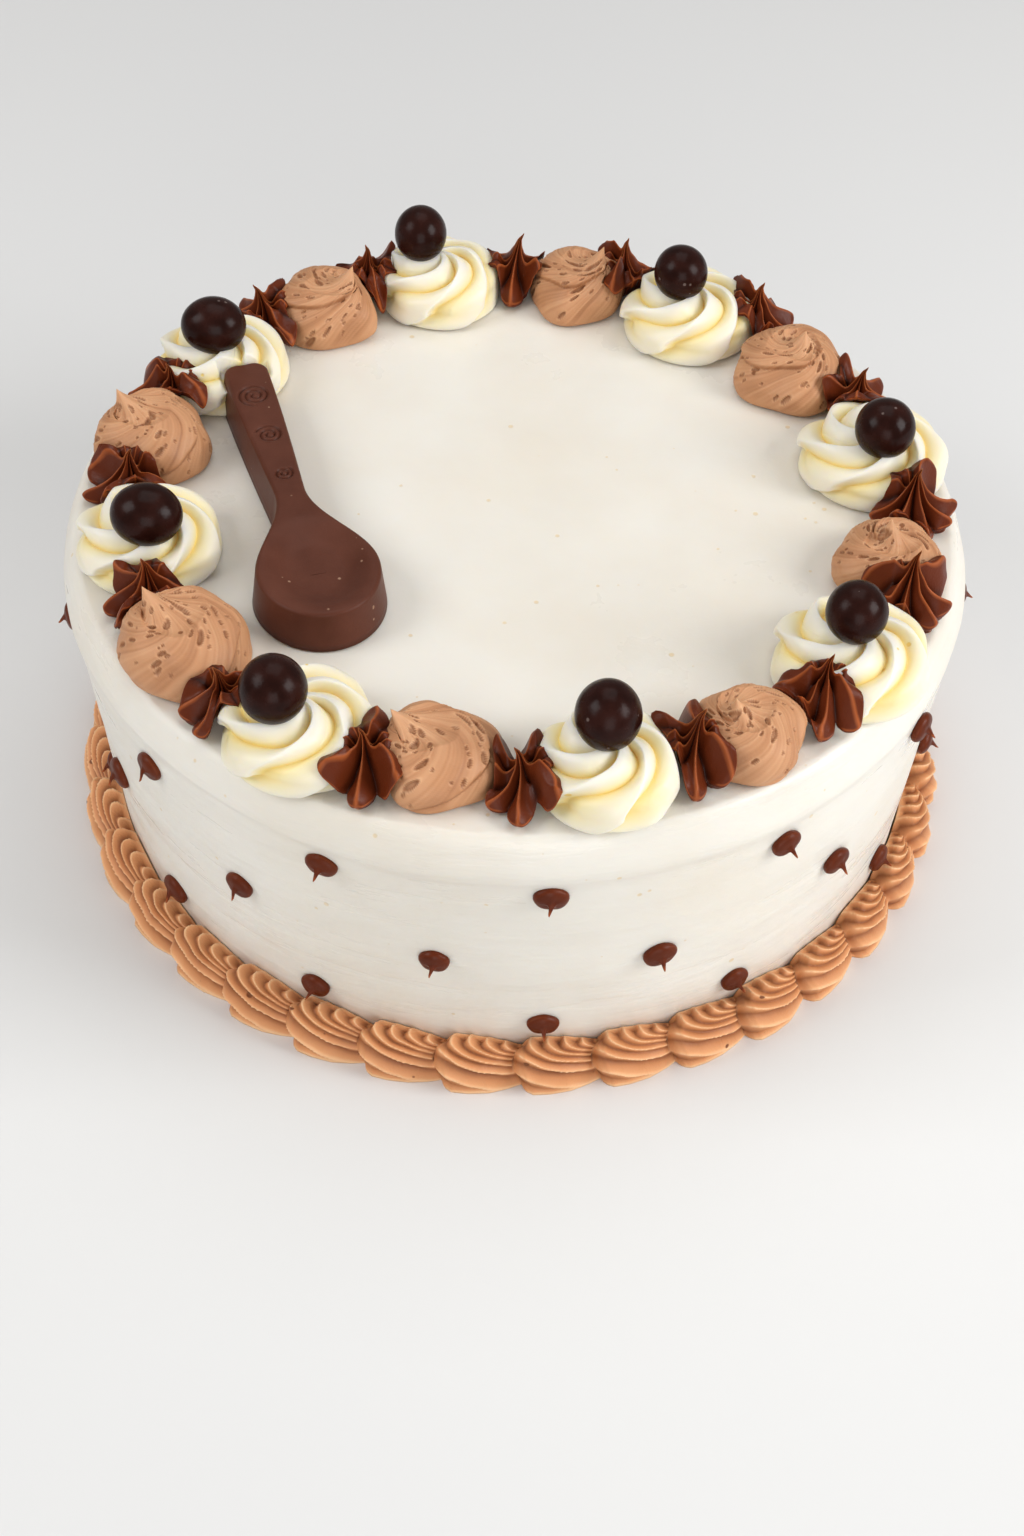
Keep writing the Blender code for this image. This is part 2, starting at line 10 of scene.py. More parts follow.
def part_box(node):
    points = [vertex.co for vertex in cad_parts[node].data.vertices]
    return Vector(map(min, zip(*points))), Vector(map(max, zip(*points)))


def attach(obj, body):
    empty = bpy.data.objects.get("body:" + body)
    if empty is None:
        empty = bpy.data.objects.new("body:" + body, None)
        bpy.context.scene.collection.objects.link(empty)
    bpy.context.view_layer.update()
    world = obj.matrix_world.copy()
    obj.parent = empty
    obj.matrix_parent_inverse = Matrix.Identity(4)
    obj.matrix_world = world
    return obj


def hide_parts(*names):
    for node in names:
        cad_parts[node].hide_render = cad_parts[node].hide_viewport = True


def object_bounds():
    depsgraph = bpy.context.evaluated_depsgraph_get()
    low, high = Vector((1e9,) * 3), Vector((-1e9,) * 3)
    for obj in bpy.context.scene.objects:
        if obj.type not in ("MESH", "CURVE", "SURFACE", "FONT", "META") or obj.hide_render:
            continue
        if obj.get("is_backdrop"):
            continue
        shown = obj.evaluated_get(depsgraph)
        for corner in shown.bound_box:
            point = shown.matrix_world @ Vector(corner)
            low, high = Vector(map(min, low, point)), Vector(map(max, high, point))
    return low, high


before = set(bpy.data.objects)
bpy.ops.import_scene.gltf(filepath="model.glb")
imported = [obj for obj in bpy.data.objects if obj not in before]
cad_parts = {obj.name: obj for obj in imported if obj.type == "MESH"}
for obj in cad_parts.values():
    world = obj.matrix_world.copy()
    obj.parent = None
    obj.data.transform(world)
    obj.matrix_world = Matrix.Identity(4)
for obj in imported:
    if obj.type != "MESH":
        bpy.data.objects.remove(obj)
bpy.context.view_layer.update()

# The camera stands in front of the cake and looks down on its top, a little tilted, as the cake was
# photographed from a ladder or a raised tripod with a short telephoto lens.
CAMERA_PLACE = (0.0002, -0.4763, 0.4908)
CAMERA_LENS = 60.94
CAMERA_PITCH = math.radians(46.12)
CAMERA_ROLL = math.radians(1.49)

level = Vector((1.0, 0.0, 0.0))
upright = Vector((0.0, math.sin(CAMERA_PITCH), math.cos(CAMERA_PITCH)))
backwards = Vector((0.0, -math.cos(CAMERA_PITCH), math.sin(CAMERA_PITCH)))
sideways = level * math.cos(CAMERA_ROLL) + upright * math.sin(CAMERA_ROLL)
overhead = upright * math.cos(CAMERA_ROLL) - level * math.sin(CAMERA_ROLL)
camera = bpy.data.objects.new("camera", bpy.data.cameras.new("camera"))
camera.data.lens = CAMERA_LENS
camera.data.clip_start = 0.01
camera_axes = Matrix((sideways, overhead, backwards)).transposed().to_4x4()
camera.matrix_world = Matrix.Translation(CAMERA_PLACE) @ camera_axes
bpy.context.scene.collection.objects.link(camera)
bpy.context.scene.camera = camera


# The cake under its icing: one uncut round, smoothed with a palette knife, so that the wall leans out a
# little towards the top and the shoulder is soft. The knife leaves faint sweeps, scuffs and a crease.
MM = 0.001
FULL_TURN = 2.0 * math.pi
CAKE_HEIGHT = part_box("rosette_1")[0].z - 0.3 * MM
BASE_RADIUS = 100.0 * MM
WIDEST_RADIUS = 107.9 * MM
WIDEST_HEIGHT = 74.0 * MM
RIM_RADIUS = 103.4 * MM
BODY_STEPS = 480
WALL_WAVE = 0.5 * MM
WALL_RIPPLE = 0.10 * MM
CREASE_STEP = 0.55 * MM
TOP_HOLLOWS = 0.20 * MM
RIM_ROUGHNESS = 0.24 * MM
RIM_BAND = (0.987 * RIM_RADIUS, 1.6 * MM)
ICING_COLOUR = (0.765, 0.734, 0.668)
ICING_SHADE = (0.735, 0.684, 0.597)


def points_of(mesh):
    points = np.empty(len(mesh.vertices) * 3, np.float32)
    mesh.vertices.foreach_get("co", points)
    return points.reshape(-1, 3).astype(float)


def put_points(mesh, points):
    mesh.vertices.foreach_set("co", points.astype(np.float32).ravel())
    mesh.update()


def mesh_from(form, name):
    mesh = bpy.data.meshes.new(name)
    form.to_mesh(mesh)
    form.free()
    return mesh


def mark(mesh, name, values):
    """Stores a value per point, such as how far it is a crest, a crease or a pit, for its material to paint
    light and shade by.
    """
    attribute = mesh.attributes.new(name, "FLOAT", "POINT")
    attribute.data.foreach_set("value", np.clip(values, 0.0, 1.0).astype(np.float32))


def ripples(points, dice, wavelength, waves=9):
    """Smooth unevenness between about -1 and 1: waves that run in drawn directions."""
    total = np.zeros(len(points))
    for _ in range(waves):
        direction = np.array([dice.gauss(0.0, 1.0) for _ in range(3)])
        direction *= FULL_TURN / (np.linalg.norm(direction) * wavelength * dice.uniform(0.7, 1.5))
        total += np.sin(points @ direction + dice.uniform(0.0, FULL_TURN))
    return total / math.sqrt(waves)


def smooth_step(low, high, values):
    share = np.clip((values - low) / (high - low), 0.0, 1.0)
    return share * share * (3.0 - 2.0 * share)


def show(name, mesh, material, slot, *nodes):
    mesh.materials.clear()
    mesh.materials.append(material)
    mesh.shade_smooth()
    piece = bpy.data.objects.new(name, mesh)
    bpy.context.scene.collection.objects.link(piece)
    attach(piece, "root")
    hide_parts(*nodes)
    return piece


def new_node(tree, kind, settings=None, **inputs):
    """Adds a node, sets its settings, and gives each input a value or a link."""
    made = tree.nodes.new(kind)
    for key, value in (settings or {}).items():
        setattr(made, key, value)
    for key, value in inputs.items():
        socket = made.inputs[int(key[1:]) if key[0] == "n" and key[1:].isdigit() else key.replace("_", " ")]
        if isinstance(value, bpy.types.NodeSocket):
            tree.links.new(value, socket)
        else:
            socket.default_value = value
    return made


def new_finish(name, **constants):
    material = bpy.data.materials.new(name)
    material.use_nodes = True
    shader = material.node_tree.nodes["Principled BSDF"]
    for key, value in constants.items():
        shader.inputs[key.replace("_", " ")].default_value = value
    return material, material.node_tree, shader


def colour_ramp(tree, value, stops):
    ramp = new_node(tree, "ShaderNodeValToRGB", Fac=value)
    elements = ramp.color_ramp.elements
    while len(elements) < len(stops):
        elements.new(0.5)
    for element, (place, colour) in zip(elements, stops):
        element.position = place
        element.color = (*colour, 1.0)
    return ramp.outputs["Color"]


def noise(tree, place, scale, detail, roughness=0.5):
    return new_node(tree, "ShaderNodeTexNoise", Vector=place, Scale=scale, Detail=detail,
                    Roughness=roughness).outputs["Fac"]


def wander(tree, value, blotch, reach):
    """Adds a little noise to a value, so that the colours it picks wander."""
    drift = new_node(tree, "ShaderNodeMapRange", Value=blotch, To_Min=-reach, To_Max=reach).outputs["Result"]
    return new_node(tree, "ShaderNodeMath", {"operation": "ADD"}, n0=value, n1=drift).outputs["Value"]


def paint(tree, shader, ground, mask, pit_colour):
    mixed = new_node(tree, "ShaderNodeMix", {"data_type": "RGBA"}, Factor=mask, n6=ground,
                     n7=(*pit_colour, 1.0))
    tree.links.new(mixed.outputs[2], shader.inputs["Base Color"])


def vary_shine(tree, shader, value, span, roughness):
    shine = new_node(tree, "ShaderNodeMapRange", Value=value, From_Min=span[0], From_Max=span[1],
                     To_Min=roughness[0], To_Max=roughness[1])
    tree.links.new(shine.outputs["Result"], shader.inputs["Roughness"])


def bubble_group():
    """Tiny air bubbles that burst at the surface: a mask of the pits and the normal that they give."""
    group = bpy.data.node_groups.new("air_bubbles", "ShaderNodeTree")
    sockets = group.interface
    sockets.new_socket("Vector", in_out="INPUT", socket_type="NodeSocketVector")
    for name, value in (("Scale", 300.0), ("Share", 0.1), ("Grain", 0.2), ("Depth", 0.3)):
        sockets.new_socket(name, in_out="INPUT", socket_type="NodeSocketFloat").default_value = value
    sockets.new_socket("Mask", in_out="OUTPUT", socket_type="NodeSocketFloat")
    sockets.new_socket("Normal", in_out="OUTPUT", socket_type="NodeSocketVector")
    entry = group.nodes.new("NodeGroupInput").outputs
    cells = new_node(group, "ShaderNodeTexVoronoi", Vector=entry["Vector"], Scale=entry["Scale"])
    chance = new_node(group, "ShaderNodeSeparateColor", Color=cells.outputs["Color"])
    chosen = new_node(group, "ShaderNodeMath", {"operation": "LESS_THAN"}, n0=chance.outputs["Red"],
                      n1=entry["Share"])
    size = new_node(group, "ShaderNodeMapRange", Value=chance.outputs["Green"], To_Min=0.12, To_Max=0.34)
    edge = new_node(group, "ShaderNodeMath", {"operation": "SUBTRACT"}, n0=size.outputs["Result"],
                    n1=cells.outputs["Distance"])
    round_pit = new_node(group, "ShaderNodeMapRange", Value=edge.outputs["Value"], From_Max=0.1)
    mask = new_node(group, "ShaderNodeMath", {"operation": "MULTIPLY"}, n0=round_pit.outputs["Result"],
                    n1=chosen.outputs["Value"])
    fine = noise(group, entry["Vector"], 1800.0, 3.0)
    grain = new_node(group, "ShaderNodeMath", {"operation": "MULTIPLY"}, n0=fine, n1=entry["Grain"])
    height = new_node(group, "ShaderNodeMath", {"operation": "SUBTRACT"}, n0=grain.outputs["Value"],
                      n1=mask.outputs["Value"])
    bump = new_node(group, "ShaderNodeBump", Strength=entry["Depth"], Distance=0.5 * MM,
                    Height=height.outputs["Value"])
    leave = group.nodes.new("NodeGroupOutput").inputs
    group.links.new(mask.outputs["Value"], leave["Mask"])
    group.links.new(bump.outputs["Normal"], leave["Normal"])
    return group


bubbles = bubble_group()


def air_bubbles(tree, place, scale, share, grain, depth):
    return new_node(tree, "ShaderNodeGroup", {"node_tree": bubbles}, Vector=place, Scale=scale, Share=share,
                    Grain=grain, Depth=depth).outputs


def object_place(tree):
    return new_node(tree, "ShaderNodeTexCoord").outputs["Object"]


def marked(tree, name):
    return new_node(tree, "ShaderNodeAttribute", {"attribute_name": name}).outputs["Fac"]


def wall_radius(height):
    return BASE_RADIUS + (WIDEST_RADIUS - BASE_RADIUS) * np.minimum(height / WIDEST_HEIGHT, 1.0)


def body_outline():
    """Half section of the iced cake, from the top's middle over the shoulder to the base's middle."""
    outline = [Vector((RIM_RADIUS * share, 0.0, CAKE_HEIGHT)) for share in np.linspace(0.0, 1.0, 30)]
    for turn in np.linspace(0.0, 0.5 * math.pi, 18)[1:]:
        radius = RIM_RADIUS + (WIDEST_RADIUS - RIM_RADIUS) * math.sin(turn)
        outline.append(Vector((radius, 0.0, WIDEST_HEIGHT + (CAKE_HEIGHT - WIDEST_HEIGHT) * math.cos(turn))))
    for height in np.linspace(WIDEST_HEIGHT, 0.0, 50)[1:]:
        outline.append(Vector((wall_radius(height), 0.0, height)))
    outline.append(Vector((0.5 * BASE_RADIUS, 0.0, 0.0)))
    outline.append(Vector((0.0, 0.0, 0.0)))
    return outline


def spun_body():
    form = bmesh.new()
    corners = [form.verts.new(point) for point in body_outline()]
    edges = [form.edges.new(pair) for pair in zip(corners, corners[1:])]
    bmesh.ops.spin(form, geom=corners + edges, cent=(0.0, 0.0, 0.0), axis=(0.0, 0.0, 1.0), angle=FULL_TURN,
                   steps=BODY_STEPS, use_merge=True, use_duplicate=False)
    bmesh.ops.remove_doubles(form, verts=form.verts, dist=0.001 * MM)
    bmesh.ops.recalc_face_normals(form, faces=form.faces)
    return mesh_from(form, "iced_cake")


def smooth_with_knife(mesh):
    """Moves the spun surface a little, as a knife leaves it: waves, a crease under the shoulder, scuffs."""
    dice = random.Random(31)
    points = points_of(mesh)
    radius = np.maximum(np.hypot(points[:, 0], points[:, 1]), 1e-9)
    around = np.arctan2(points[:, 1], points[:, 0])
    climb = points[:, 2] / CAKE_HEIGHT
    outwards = WALL_WAVE * climb * (0.5 * np.sin(3.0 * around) - np.cos(around))
    wall = smooth_step(0.02, 0.15, climb) * smooth_step(0.999, 0.96, climb)
    outwards += WALL_RIPPLE * wall * ripples(points, dice, 22.0 * MM)
    crease = WIDEST_HEIGHT - 1.5 * MM
    crease = crease + 1.5 * MM * np.sin(2.0 * around + 0.6) + 0.7 * MM * np.sin(5.0 * around)
    over = points[:, 2] - crease
    step = smooth_step(-0.7 * MM, 0.7 * MM, over) * smooth_step(9.0 * MM, 2.0 * MM, over)
    outwards += CREASE_STEP * step * (points[:, 2] > 0.5 * CAKE_HEIGHT)
    grow = 1.0 + np.where(radius > WALL_WAVE, outwards / radius, 0.0)
    top = smooth_step(0.985, 1.0, climb) * smooth_step(RIM_RADIUS, 0.93 * RIM_RADIUS, radius)
    points[:, 0] *= grow
    points[:, 1] *= grow
    points[:, 2] -= TOP_HOLLOWS * top * (1.0 + ripples(points, dice, 24.0 * MM)) * 0.5
    rough_rim = np.exp(-((radius - RIM_BAND[0]) / RIM_BAND[1]) ** 2) * smooth_step(0.985, 1.0, climb)
    points[:, 2] -= RIM_ROUGHNESS * rough_rim * (1.0 + ripples(points, dice, 4.0 * MM))
    put_points(mesh, points)


def icing_finish():
    material, tree, shader = new_finish(
        "vanilla_icing", Roughness=0.42, Subsurface_Weight=0.25, Subsurface_Radius=(1.0, 0.75, 0.5),
        Subsurface_Scale=0.004, Specular_IOR_Level=0.4)
    place = object_place(tree)
    sweep = new_node(tree, "ShaderNodeMapping", Vector=place, Scale=(18.0, 18.0, 130.0)).outputs["Vector"]
    marks = noise(tree, sweep, 1.0, 6.0, 0.6)
    bubble = air_bubbles(tree, place, 420.0, 0.035, 0.12, 0.22)
    knife = new_node(tree, "ShaderNodeBump", Strength=0.30, Distance=2.0 * MM, Height=marks,
                     Normal=bubble["Normal"])
    tree.links.new(knife.outputs["Normal"], shader.inputs["Normal"])
    ground = colour_ramp(tree, noise(tree, place, 22.0, 4.0), ((0.35, ICING_SHADE), (0.60, ICING_COLOUR)))
    paint(tree, shader, ground, bubble["Mask"], (0.72, 0.60, 0.42))
    vary_shine(tree, shader, marks, (0.38, 0.62), (0.24, 0.50))
    return material


body_mesh = spun_body()
smooth_with_knife(body_mesh)
show("iced_cake", body_mesh, icing_finish(), "vanilla_icing", "cake_body")


# The drops on the wall: melted fudge set in small flat domes and pressed on while soft, in three
# staggered rows, each with the thin tail that the bag pulls out of it.
DROPS_PER_ROW = 13
DROP_ROWS = (
    (67.0 * MM, 0.0, {1: (2.0, -1.0 * MM), 11: (1.0, -1.0 * MM), 12: (0.5, 0.5 * MM)}),
    (40.5 * MM, 0.5, {1: (0.5, -1.5 * MM), 2: (-0.5, 3.0 * MM), 11: (1.5, 0.0), 12: (1.0, 3.5 * MM)}),
    (16.6 * MM, 0.0, {1: (-1.0, -0.3 * MM), 2: (2.0, 0.0), 11: (-1.0, 0.4 * MM), 12: (-3.0, 0.0)}),
)
DROP_UNEVEN = (1.5, 0.8 * MM)
FIRST_DROP_ANGLE = math.radians(-85.0)
DROP_RADIUS = 3.9 * MM
DROP_SIZES = (0.93, 1.07)
DROP_DROOP = 1.6 * MM
DROP_SWAY = 1.0 * MM

# The piping hand's draws, in the order in which the pieces are made
hand = random.Random(12)


def drop_frame(angle, height):
    """Stands on the wall: local +Z points out of it, local -Y down it."""
    slope = math.atan2(WIDEST_RADIUS - BASE_RADIUS, WIDEST_HEIGHT)
    level = Vector((math.cos(angle), math.sin(angle), 0.0))
    outwards = level * math.cos(slope) - Vector((0.0, 0.0, math.sin(slope)))
    beside = Vector((-math.sin(angle), math.cos(angle), 0.0))
    upwards = outwards.cross(beside)
    place = level * float(wall_radius(height))
    place.z = height
    return Matrix.Translation(place) @ Matrix((beside, upwards, outwards)).transposed().to_4x4()


# Side view of a drop, from its buried foot over the dome to the tip of its tail: share of the radius,
# distance out from the wall
DROP_SIDE = (
    (0.0, -0.8), (0.6, -0.8), (0.90, -0.3), (0.99, 0.25), (1.0, 0.75), (0.95, 1.25), (0.85, 1.65),
    (0.70, 2.0), (0.52, 2.2), (0.36, 2.32), (0.24, 2.48), (0.16, 2.8), (0.11, 3.3), (0.06, 4.1), (0.0, 4.5),
)
DROP_TURNED = (28, 24)


def round_blank(columns, rings):
    """A ball of columns and rings, which every heap of one kind is shaped from."""
    form = bmesh.new()
    bmesh.ops.create_uvsphere(form, u_segments=columns, v_segments=rings, radius=1.0)
    blank = mesh_from(form, "round_blank")
    points = points_of(blank)
    turn = np.arctan2(points[:, 1], points[:, 0]) % FULL_TURN
    climb = 0.5 + np.arcsin(np.clip(points[:, 2], -1.0, 1.0)) / math.pi
    return blank, turn, climb


def eased(rows, climb):
    """Radius and height along a row of points, read by climb and rounded at the corners."""
    stops = np.linspace(0.0, 1.0, len(rows))
    table = np.array(rows)
    near = [np.stack([np.interp(np.clip(climb + shift, 0.0, 1.0), stops, table[:, axis]) for axis in (0, 1)])
            for shift in (-0.025, 0.0, 0.025)]
    return (near[0] + 2.0 * near[1] + near[2]) / 4.0


def wall_drops():
    blank, turn, climb = round_blank(*DROP_TURNED)
    share, out = eased(DROP_SIDE, climb)
    form = bmesh.new()
    painted_drop_light = []
    for height, stagger, drifts in DROP_ROWS:
        for count in range(DROPS_PER_ROW):
            random_drift = [hand.uniform(-reach, reach) for reach in DROP_UNEVEN]
            around, upwards = drifts.get(count, (0.0, 0.0) if count == 0 else random_drift)
            angle = FIRST_DROP_ANGLE + FULL_TURN / DROPS_PER_ROW * (count - stagger) + math.radians(around)
            stand = drop_frame(angle, max(height + upwards, DROP_ROWS[-1][0]))
            wide = DROP_RADIUS * hand.uniform(*DROP_SIZES)
            sway = hand.uniform(-DROP_SWAY, DROP_SWAY)
            tail = smooth_step(2.4, 4.5, out)
            dent = 1.0 + 0.03 * np.sin(2.0 * turn + 40.0 * sway / MM) + 0.02 * np.sin(5.0 * turn)
            spots = np.stack((
                wide * share * dent * np.cos(turn) + sway * tail,
                wide * 0.88 * share * dent * np.sin(turn) - DROP_DROOP * tail,
                out * MM * np.where(out > 0.0, dent, 1.0), np.ones(len(turn))), axis=1)
            drop = blank.copy()
            put_points(drop, (spots @ np.array(stand).T)[:, :3])
            form.from_mesh(drop)
            bpy.data.meshes.remove(drop)
            # Painted light: a lighter band round each drop's rim as a painted sheen, and an orange-brown tail
            # as painted light shining through the thin fudge.
            painted_drop_light.append(0.34 + 0.30 * np.exp(-((share - 0.97) / 0.07) ** 2) + 0.55 * tail)
    mesh = mesh_from(form, "wall_drops")
    mark(mesh, "crest_and_painted_light", np.concatenate(painted_drop_light))
    return mesh


FUDGE_FACE = (0.112, 0.0195, 0.0050)
FUDGE_PAINTED_LIGHT = (0.40, 0.10, 0.026)
FUDGE_PAINTED_SHADE = (0.022, 0.004, 0.002)


def fudge_finish():
    """Dark fudge: painted shade makes it darker in its grooves, and painted light makes it orange brown where
    its thin edges let light through.
    """
    material, tree, shader = new_finish(
        "fudge", Roughness=0.33, Subsurface_Weight=0.08, Subsurface_Radius=(1.0, 0.35, 0.2),
        Subsurface_Scale=0.0015, Specular_IOR_Level=0.14)
    place = object_place(tree)
    tree.links.new(air_bubbles(tree, place, 500.0, 0.05, 0.35, 0.35)["Normal"], shader.inputs["Normal"])
    blotch = noise(tree, place, 160.0, 4.0)
    depth = wander(tree, marked(tree, "crest_and_painted_light"), blotch, 0.12)
    # The ramp paints shade into the grooves and paints light onto the edges, crests, rims and tails.
    colour = colour_ramp(
        tree, depth, ((0.06, FUDGE_PAINTED_SHADE), (0.40, FUDGE_FACE), (0.62, FUDGE_FACE), (0.95, FUDGE_PAINTED_LIGHT)))
    tree.links.new(colour, shader.inputs["Base Color"])
    vary_shine(tree, shader, blotch, (0.3, 0.7), (0.28, 0.45))
    return material


fudge = fudge_finish()
show("wall_drops", wall_drops(), fudge, "fudge", "cake_body")


# The border at the foot: mocha cream pressed from a star nozzle in one shell after another round the
# wall, each head laid over the thin tail of the shell before it, with the nozzle's ribs running along it.
SHELL_COUNT = 36
FIRST_SHELL_ANGLE = math.radians(2.0)
SHELL_WIDTH = 10.9 * MM
SHELL_HEIGHT = 13.6 * MM
SHELL_SIZES = (0.96, 1.02)
SHELL_GAP = 0.3 * MM
SHELL_HALF = SHELL_COUNT // 2
SHELL_STEPS = 60
SHELL_ROWS = 82
SHELL_RIB_DEPTH = 1.9 * MM
SHELL_BULGE = 0.13
VIEW_SLANT = math.radians(46.0)
# Rows of the section: the foot's, then the outer side's, and the rest go down the wall
SHELL_FOOT_ROWS = 4
SHELL_SIDE_ROWS = 72
# Along one shell: place in its pitch, share of full size
SHELL_SWELL = (
    (0.0, 0.70), (0.02, 0.80), (0.06, 0.91), (0.14, 1.0), (0.34, 1.0), (0.60, 0.94), (0.84, 0.80),
    (1.0, 0.68),
)
# Where each rib's thin edge leaves the top, from the tail's end, and how far down the tail it ends
RIB_STARTS = (0.22, 0.46, 0.68, 0.90, 1.07, 1.45)
RIB_ENDS = (0.22, 0.32, 0.42, 0.56, 0.74, 0.98)


def rib_number(along, down):
    """Which rib a point of a shell lies on, as a number that runs on between the ribs."""
    numbers = np.arange(-1, len(RIB_STARTS) + 1)
    starts = np.array((0.01,) + RIB_STARTS + (2.2,))
    ends = np.array((0.06,) + RIB_ENDS + (1.6,))
    low, high = np.full(along.shape, -1.0), np.full(along.shape, float(len(RIB_STARTS)))
    for _ in range(16):
        middle = 0.5 * (low + high)
        start, end = np.interp(middle, numbers, starts), np.interp(middle, numbers, ends)
        inside = (along / start) ** 2 + (down / end) ** 2 < 1.0
        high = np.where(inside, middle, high)
        low = np.where(inside, low, middle)
    return 0.5 * (low + high)


def flat_grid(name, columns, rows, size=1.0):
    form = bmesh.new()
    bmesh.ops.create_grid(form, x_segments=columns, y_segments=rows, size=size)
    return mesh_from(form, name)


def sealed(mesh, distance, fill):
    """Joins the points that lie together, closes open ends if asked, and turns every face outwards."""
    form = bmesh.new()
    form.from_mesh(mesh)
    bmesh.ops.remove_doubles(form, verts=form.verts, dist=distance)
    if fill:
        bmesh.ops.holes_fill(form, edges=[edge for edge in form.edges if edge.is_boundary])
    bmesh.ops.recalc_face_normals(form, faces=form.faces)
    form.to_mesh(mesh)
    form.free()
    return mesh


def half_border(half, fullness):
    """Half of the border: a grid whose rows run round each shell's section, and then pressed into ribs."""
    mesh = flat_grid("piped_border", SHELL_HALF * SHELL_STEPS, SHELL_ROWS)
    points = points_of(mesh)
    run = (half + 0.5 * (points[:, 0] + 1.0)) * SHELL_HALF
    row = np.rint(0.5 * (points[:, 1] + 1.0) * SHELL_ROWS)
    count = np.minimum(np.floor(run + 1e-6).astype(int), (half + 1) * SHELL_HALF - 1)
    along = np.clip(run - count, 0.0, 1.0)
    count = count % SHELL_COUNT
    blend = smooth_step(0.6, 1.0, along)
    size = fullness[count] * (1.0 - blend) + fullness[(count + 1) % SHELL_COUNT] * blend
    size = np.interp(along, *zip(*SHELL_SWELL)) * size
    width, height = SHELL_WIDTH * size, SHELL_HEIGHT * size
    across = np.clip((row - SHELL_FOOT_ROWS) / SHELL_SIDE_ROWS, 0.0, 1.0)
    turn = math.radians(-25.0) + math.radians(165.0) * across
    down = 0.5 - 0.5 * np.sin(np.minimum(turn, 0.5 * math.pi + VIEW_SLANT) - VIEW_SLANT)
    rib = rib_number(1.0 - along, down)
    phase = rib - np.floor(rib)
    ribs = np.where(phase < 0.28, (phase / 0.28) ** 0.55, np.maximum((1.0 - phase) / 0.72, 0.0) ** 0.75)
    fade = smooth_step(-25.0, -17.0, np.degrees(turn)) * smooth_step(138.0, 118.0, np.degrees(turn))
    narrowing = 0.45 + 0.55 * smooth_step(1.0, 0.55, along)
    depth = SHELL_RIB_DEPTH * ribs * fade * size * narrowing
    middle = 0.47 * width
    radius = wall_radius(0.0) + SHELL_GAP + middle + (width - middle - depth) * np.cos(turn)
    rise = np.maximum(0.30 * height + (0.70 * height - depth) * np.sin(turn), 0.0)
    foot = row / SHELL_FOOT_ROWS
    first_radius = wall_radius(0.0) + SHELL_GAP + middle + (width - middle) * math.cos(math.radians(25.0))
    on_foot = row < SHELL_FOOT_ROWS
    radius = np.where(on_foot, (wall_radius(0.0) + SHELL_GAP) * (1.0 - foot) + first_radius * foot, radius)
    rise = np.where(on_foot, 0.0, rise)
    on_wall = row > SHELL_FOOT_ROWS + SHELL_SIDE_ROWS
    left = (SHELL_ROWS - row) / (SHELL_ROWS - SHELL_FOOT_ROWS - SHELL_SIDE_ROWS)
    top_rise = (0.30 + 0.70 * math.sin(math.radians(140.0))) * height
    rise = np.where(on_wall, top_rise * left, rise)
    radius = np.where(on_wall, 0.0, radius)
    radius = np.maximum(radius, wall_radius(rise) + SHELL_GAP)
    bulge = SHELL_BULGE * (np.sin(math.pi * down) - 0.35) * (~on_foot & ~on_wall)
    angle = FIRST_SHELL_ANGLE + FULL_TURN / SHELL_COUNT * (run - bulge)
    spot = np.stack((radius * np.cos(angle), radius * np.sin(angle), rise), axis=1)
    swell = 0.10 * MM * ripples(spot, random.Random(5), 6.0 * MM) * smooth_step(0.0, 2.0 * MM, rise) * fade
    spot[:, 0] += swell * np.cos(angle)
    spot[:, 1] += swell * np.sin(angle)
    put_points(mesh, spot)
    # Painted light and shade: darker in the grooves between the ribs, lighter along the shell's lowest edge,
    # and darker at the start of each shell, where it meets the one before it.
    lip = 0.8 * smooth_step(0.93, 0.99, down)
    mark(mesh, "crest_and_painted_light", np.maximum(1.0 - ribs * fade, lip) * (0.75 + 0.25 * smooth_step(0.0, 0.10, along)))
    return sealed(mesh, 0.002 * MM, fill=True)


def cream_finish(name, stops, pit_colour, share, grain):
    """Whipped cream with a grainy, matt skin, painted lighter on its crests and darker in its creases, and
    painted shade in the pits of burst bubbles.
    """
    material, tree, shader = new_finish(
        name, Roughness=0.5, Subsurface_Weight=0.15, Subsurface_Radius=(1.0, 0.55, 0.35),
        Subsurface_Scale=0.003, Specular_IOR_Level=0.35)
    place = object_place(tree)
    bubble = air_bubbles(tree, place, 380.0, share, grain, 0.5)
    tree.links.new(bubble["Normal"], shader.inputs["Normal"])
    blotch = noise(tree, place, 120.0, 5.0)
    ground = colour_ramp(tree, wander(tree, marked(tree, "crest_and_painted_light"), blotch, 0.16), stops)
    # Painted shade: the dollops' pits and the bubble pits get a darker colour.
    painted_pit_shade = new_node(tree, "ShaderNodeMath", {"operation": "MAXIMUM"}, n0=marked(tree, "pit"),
                     n1=bubble["Mask"])
    paint(tree, shader, ground, painted_pit_shade.outputs["Value"], pit_colour)
    vary_shine(tree, shader, blotch, (0.0, 1.0), (0.42, 0.62))
    return material


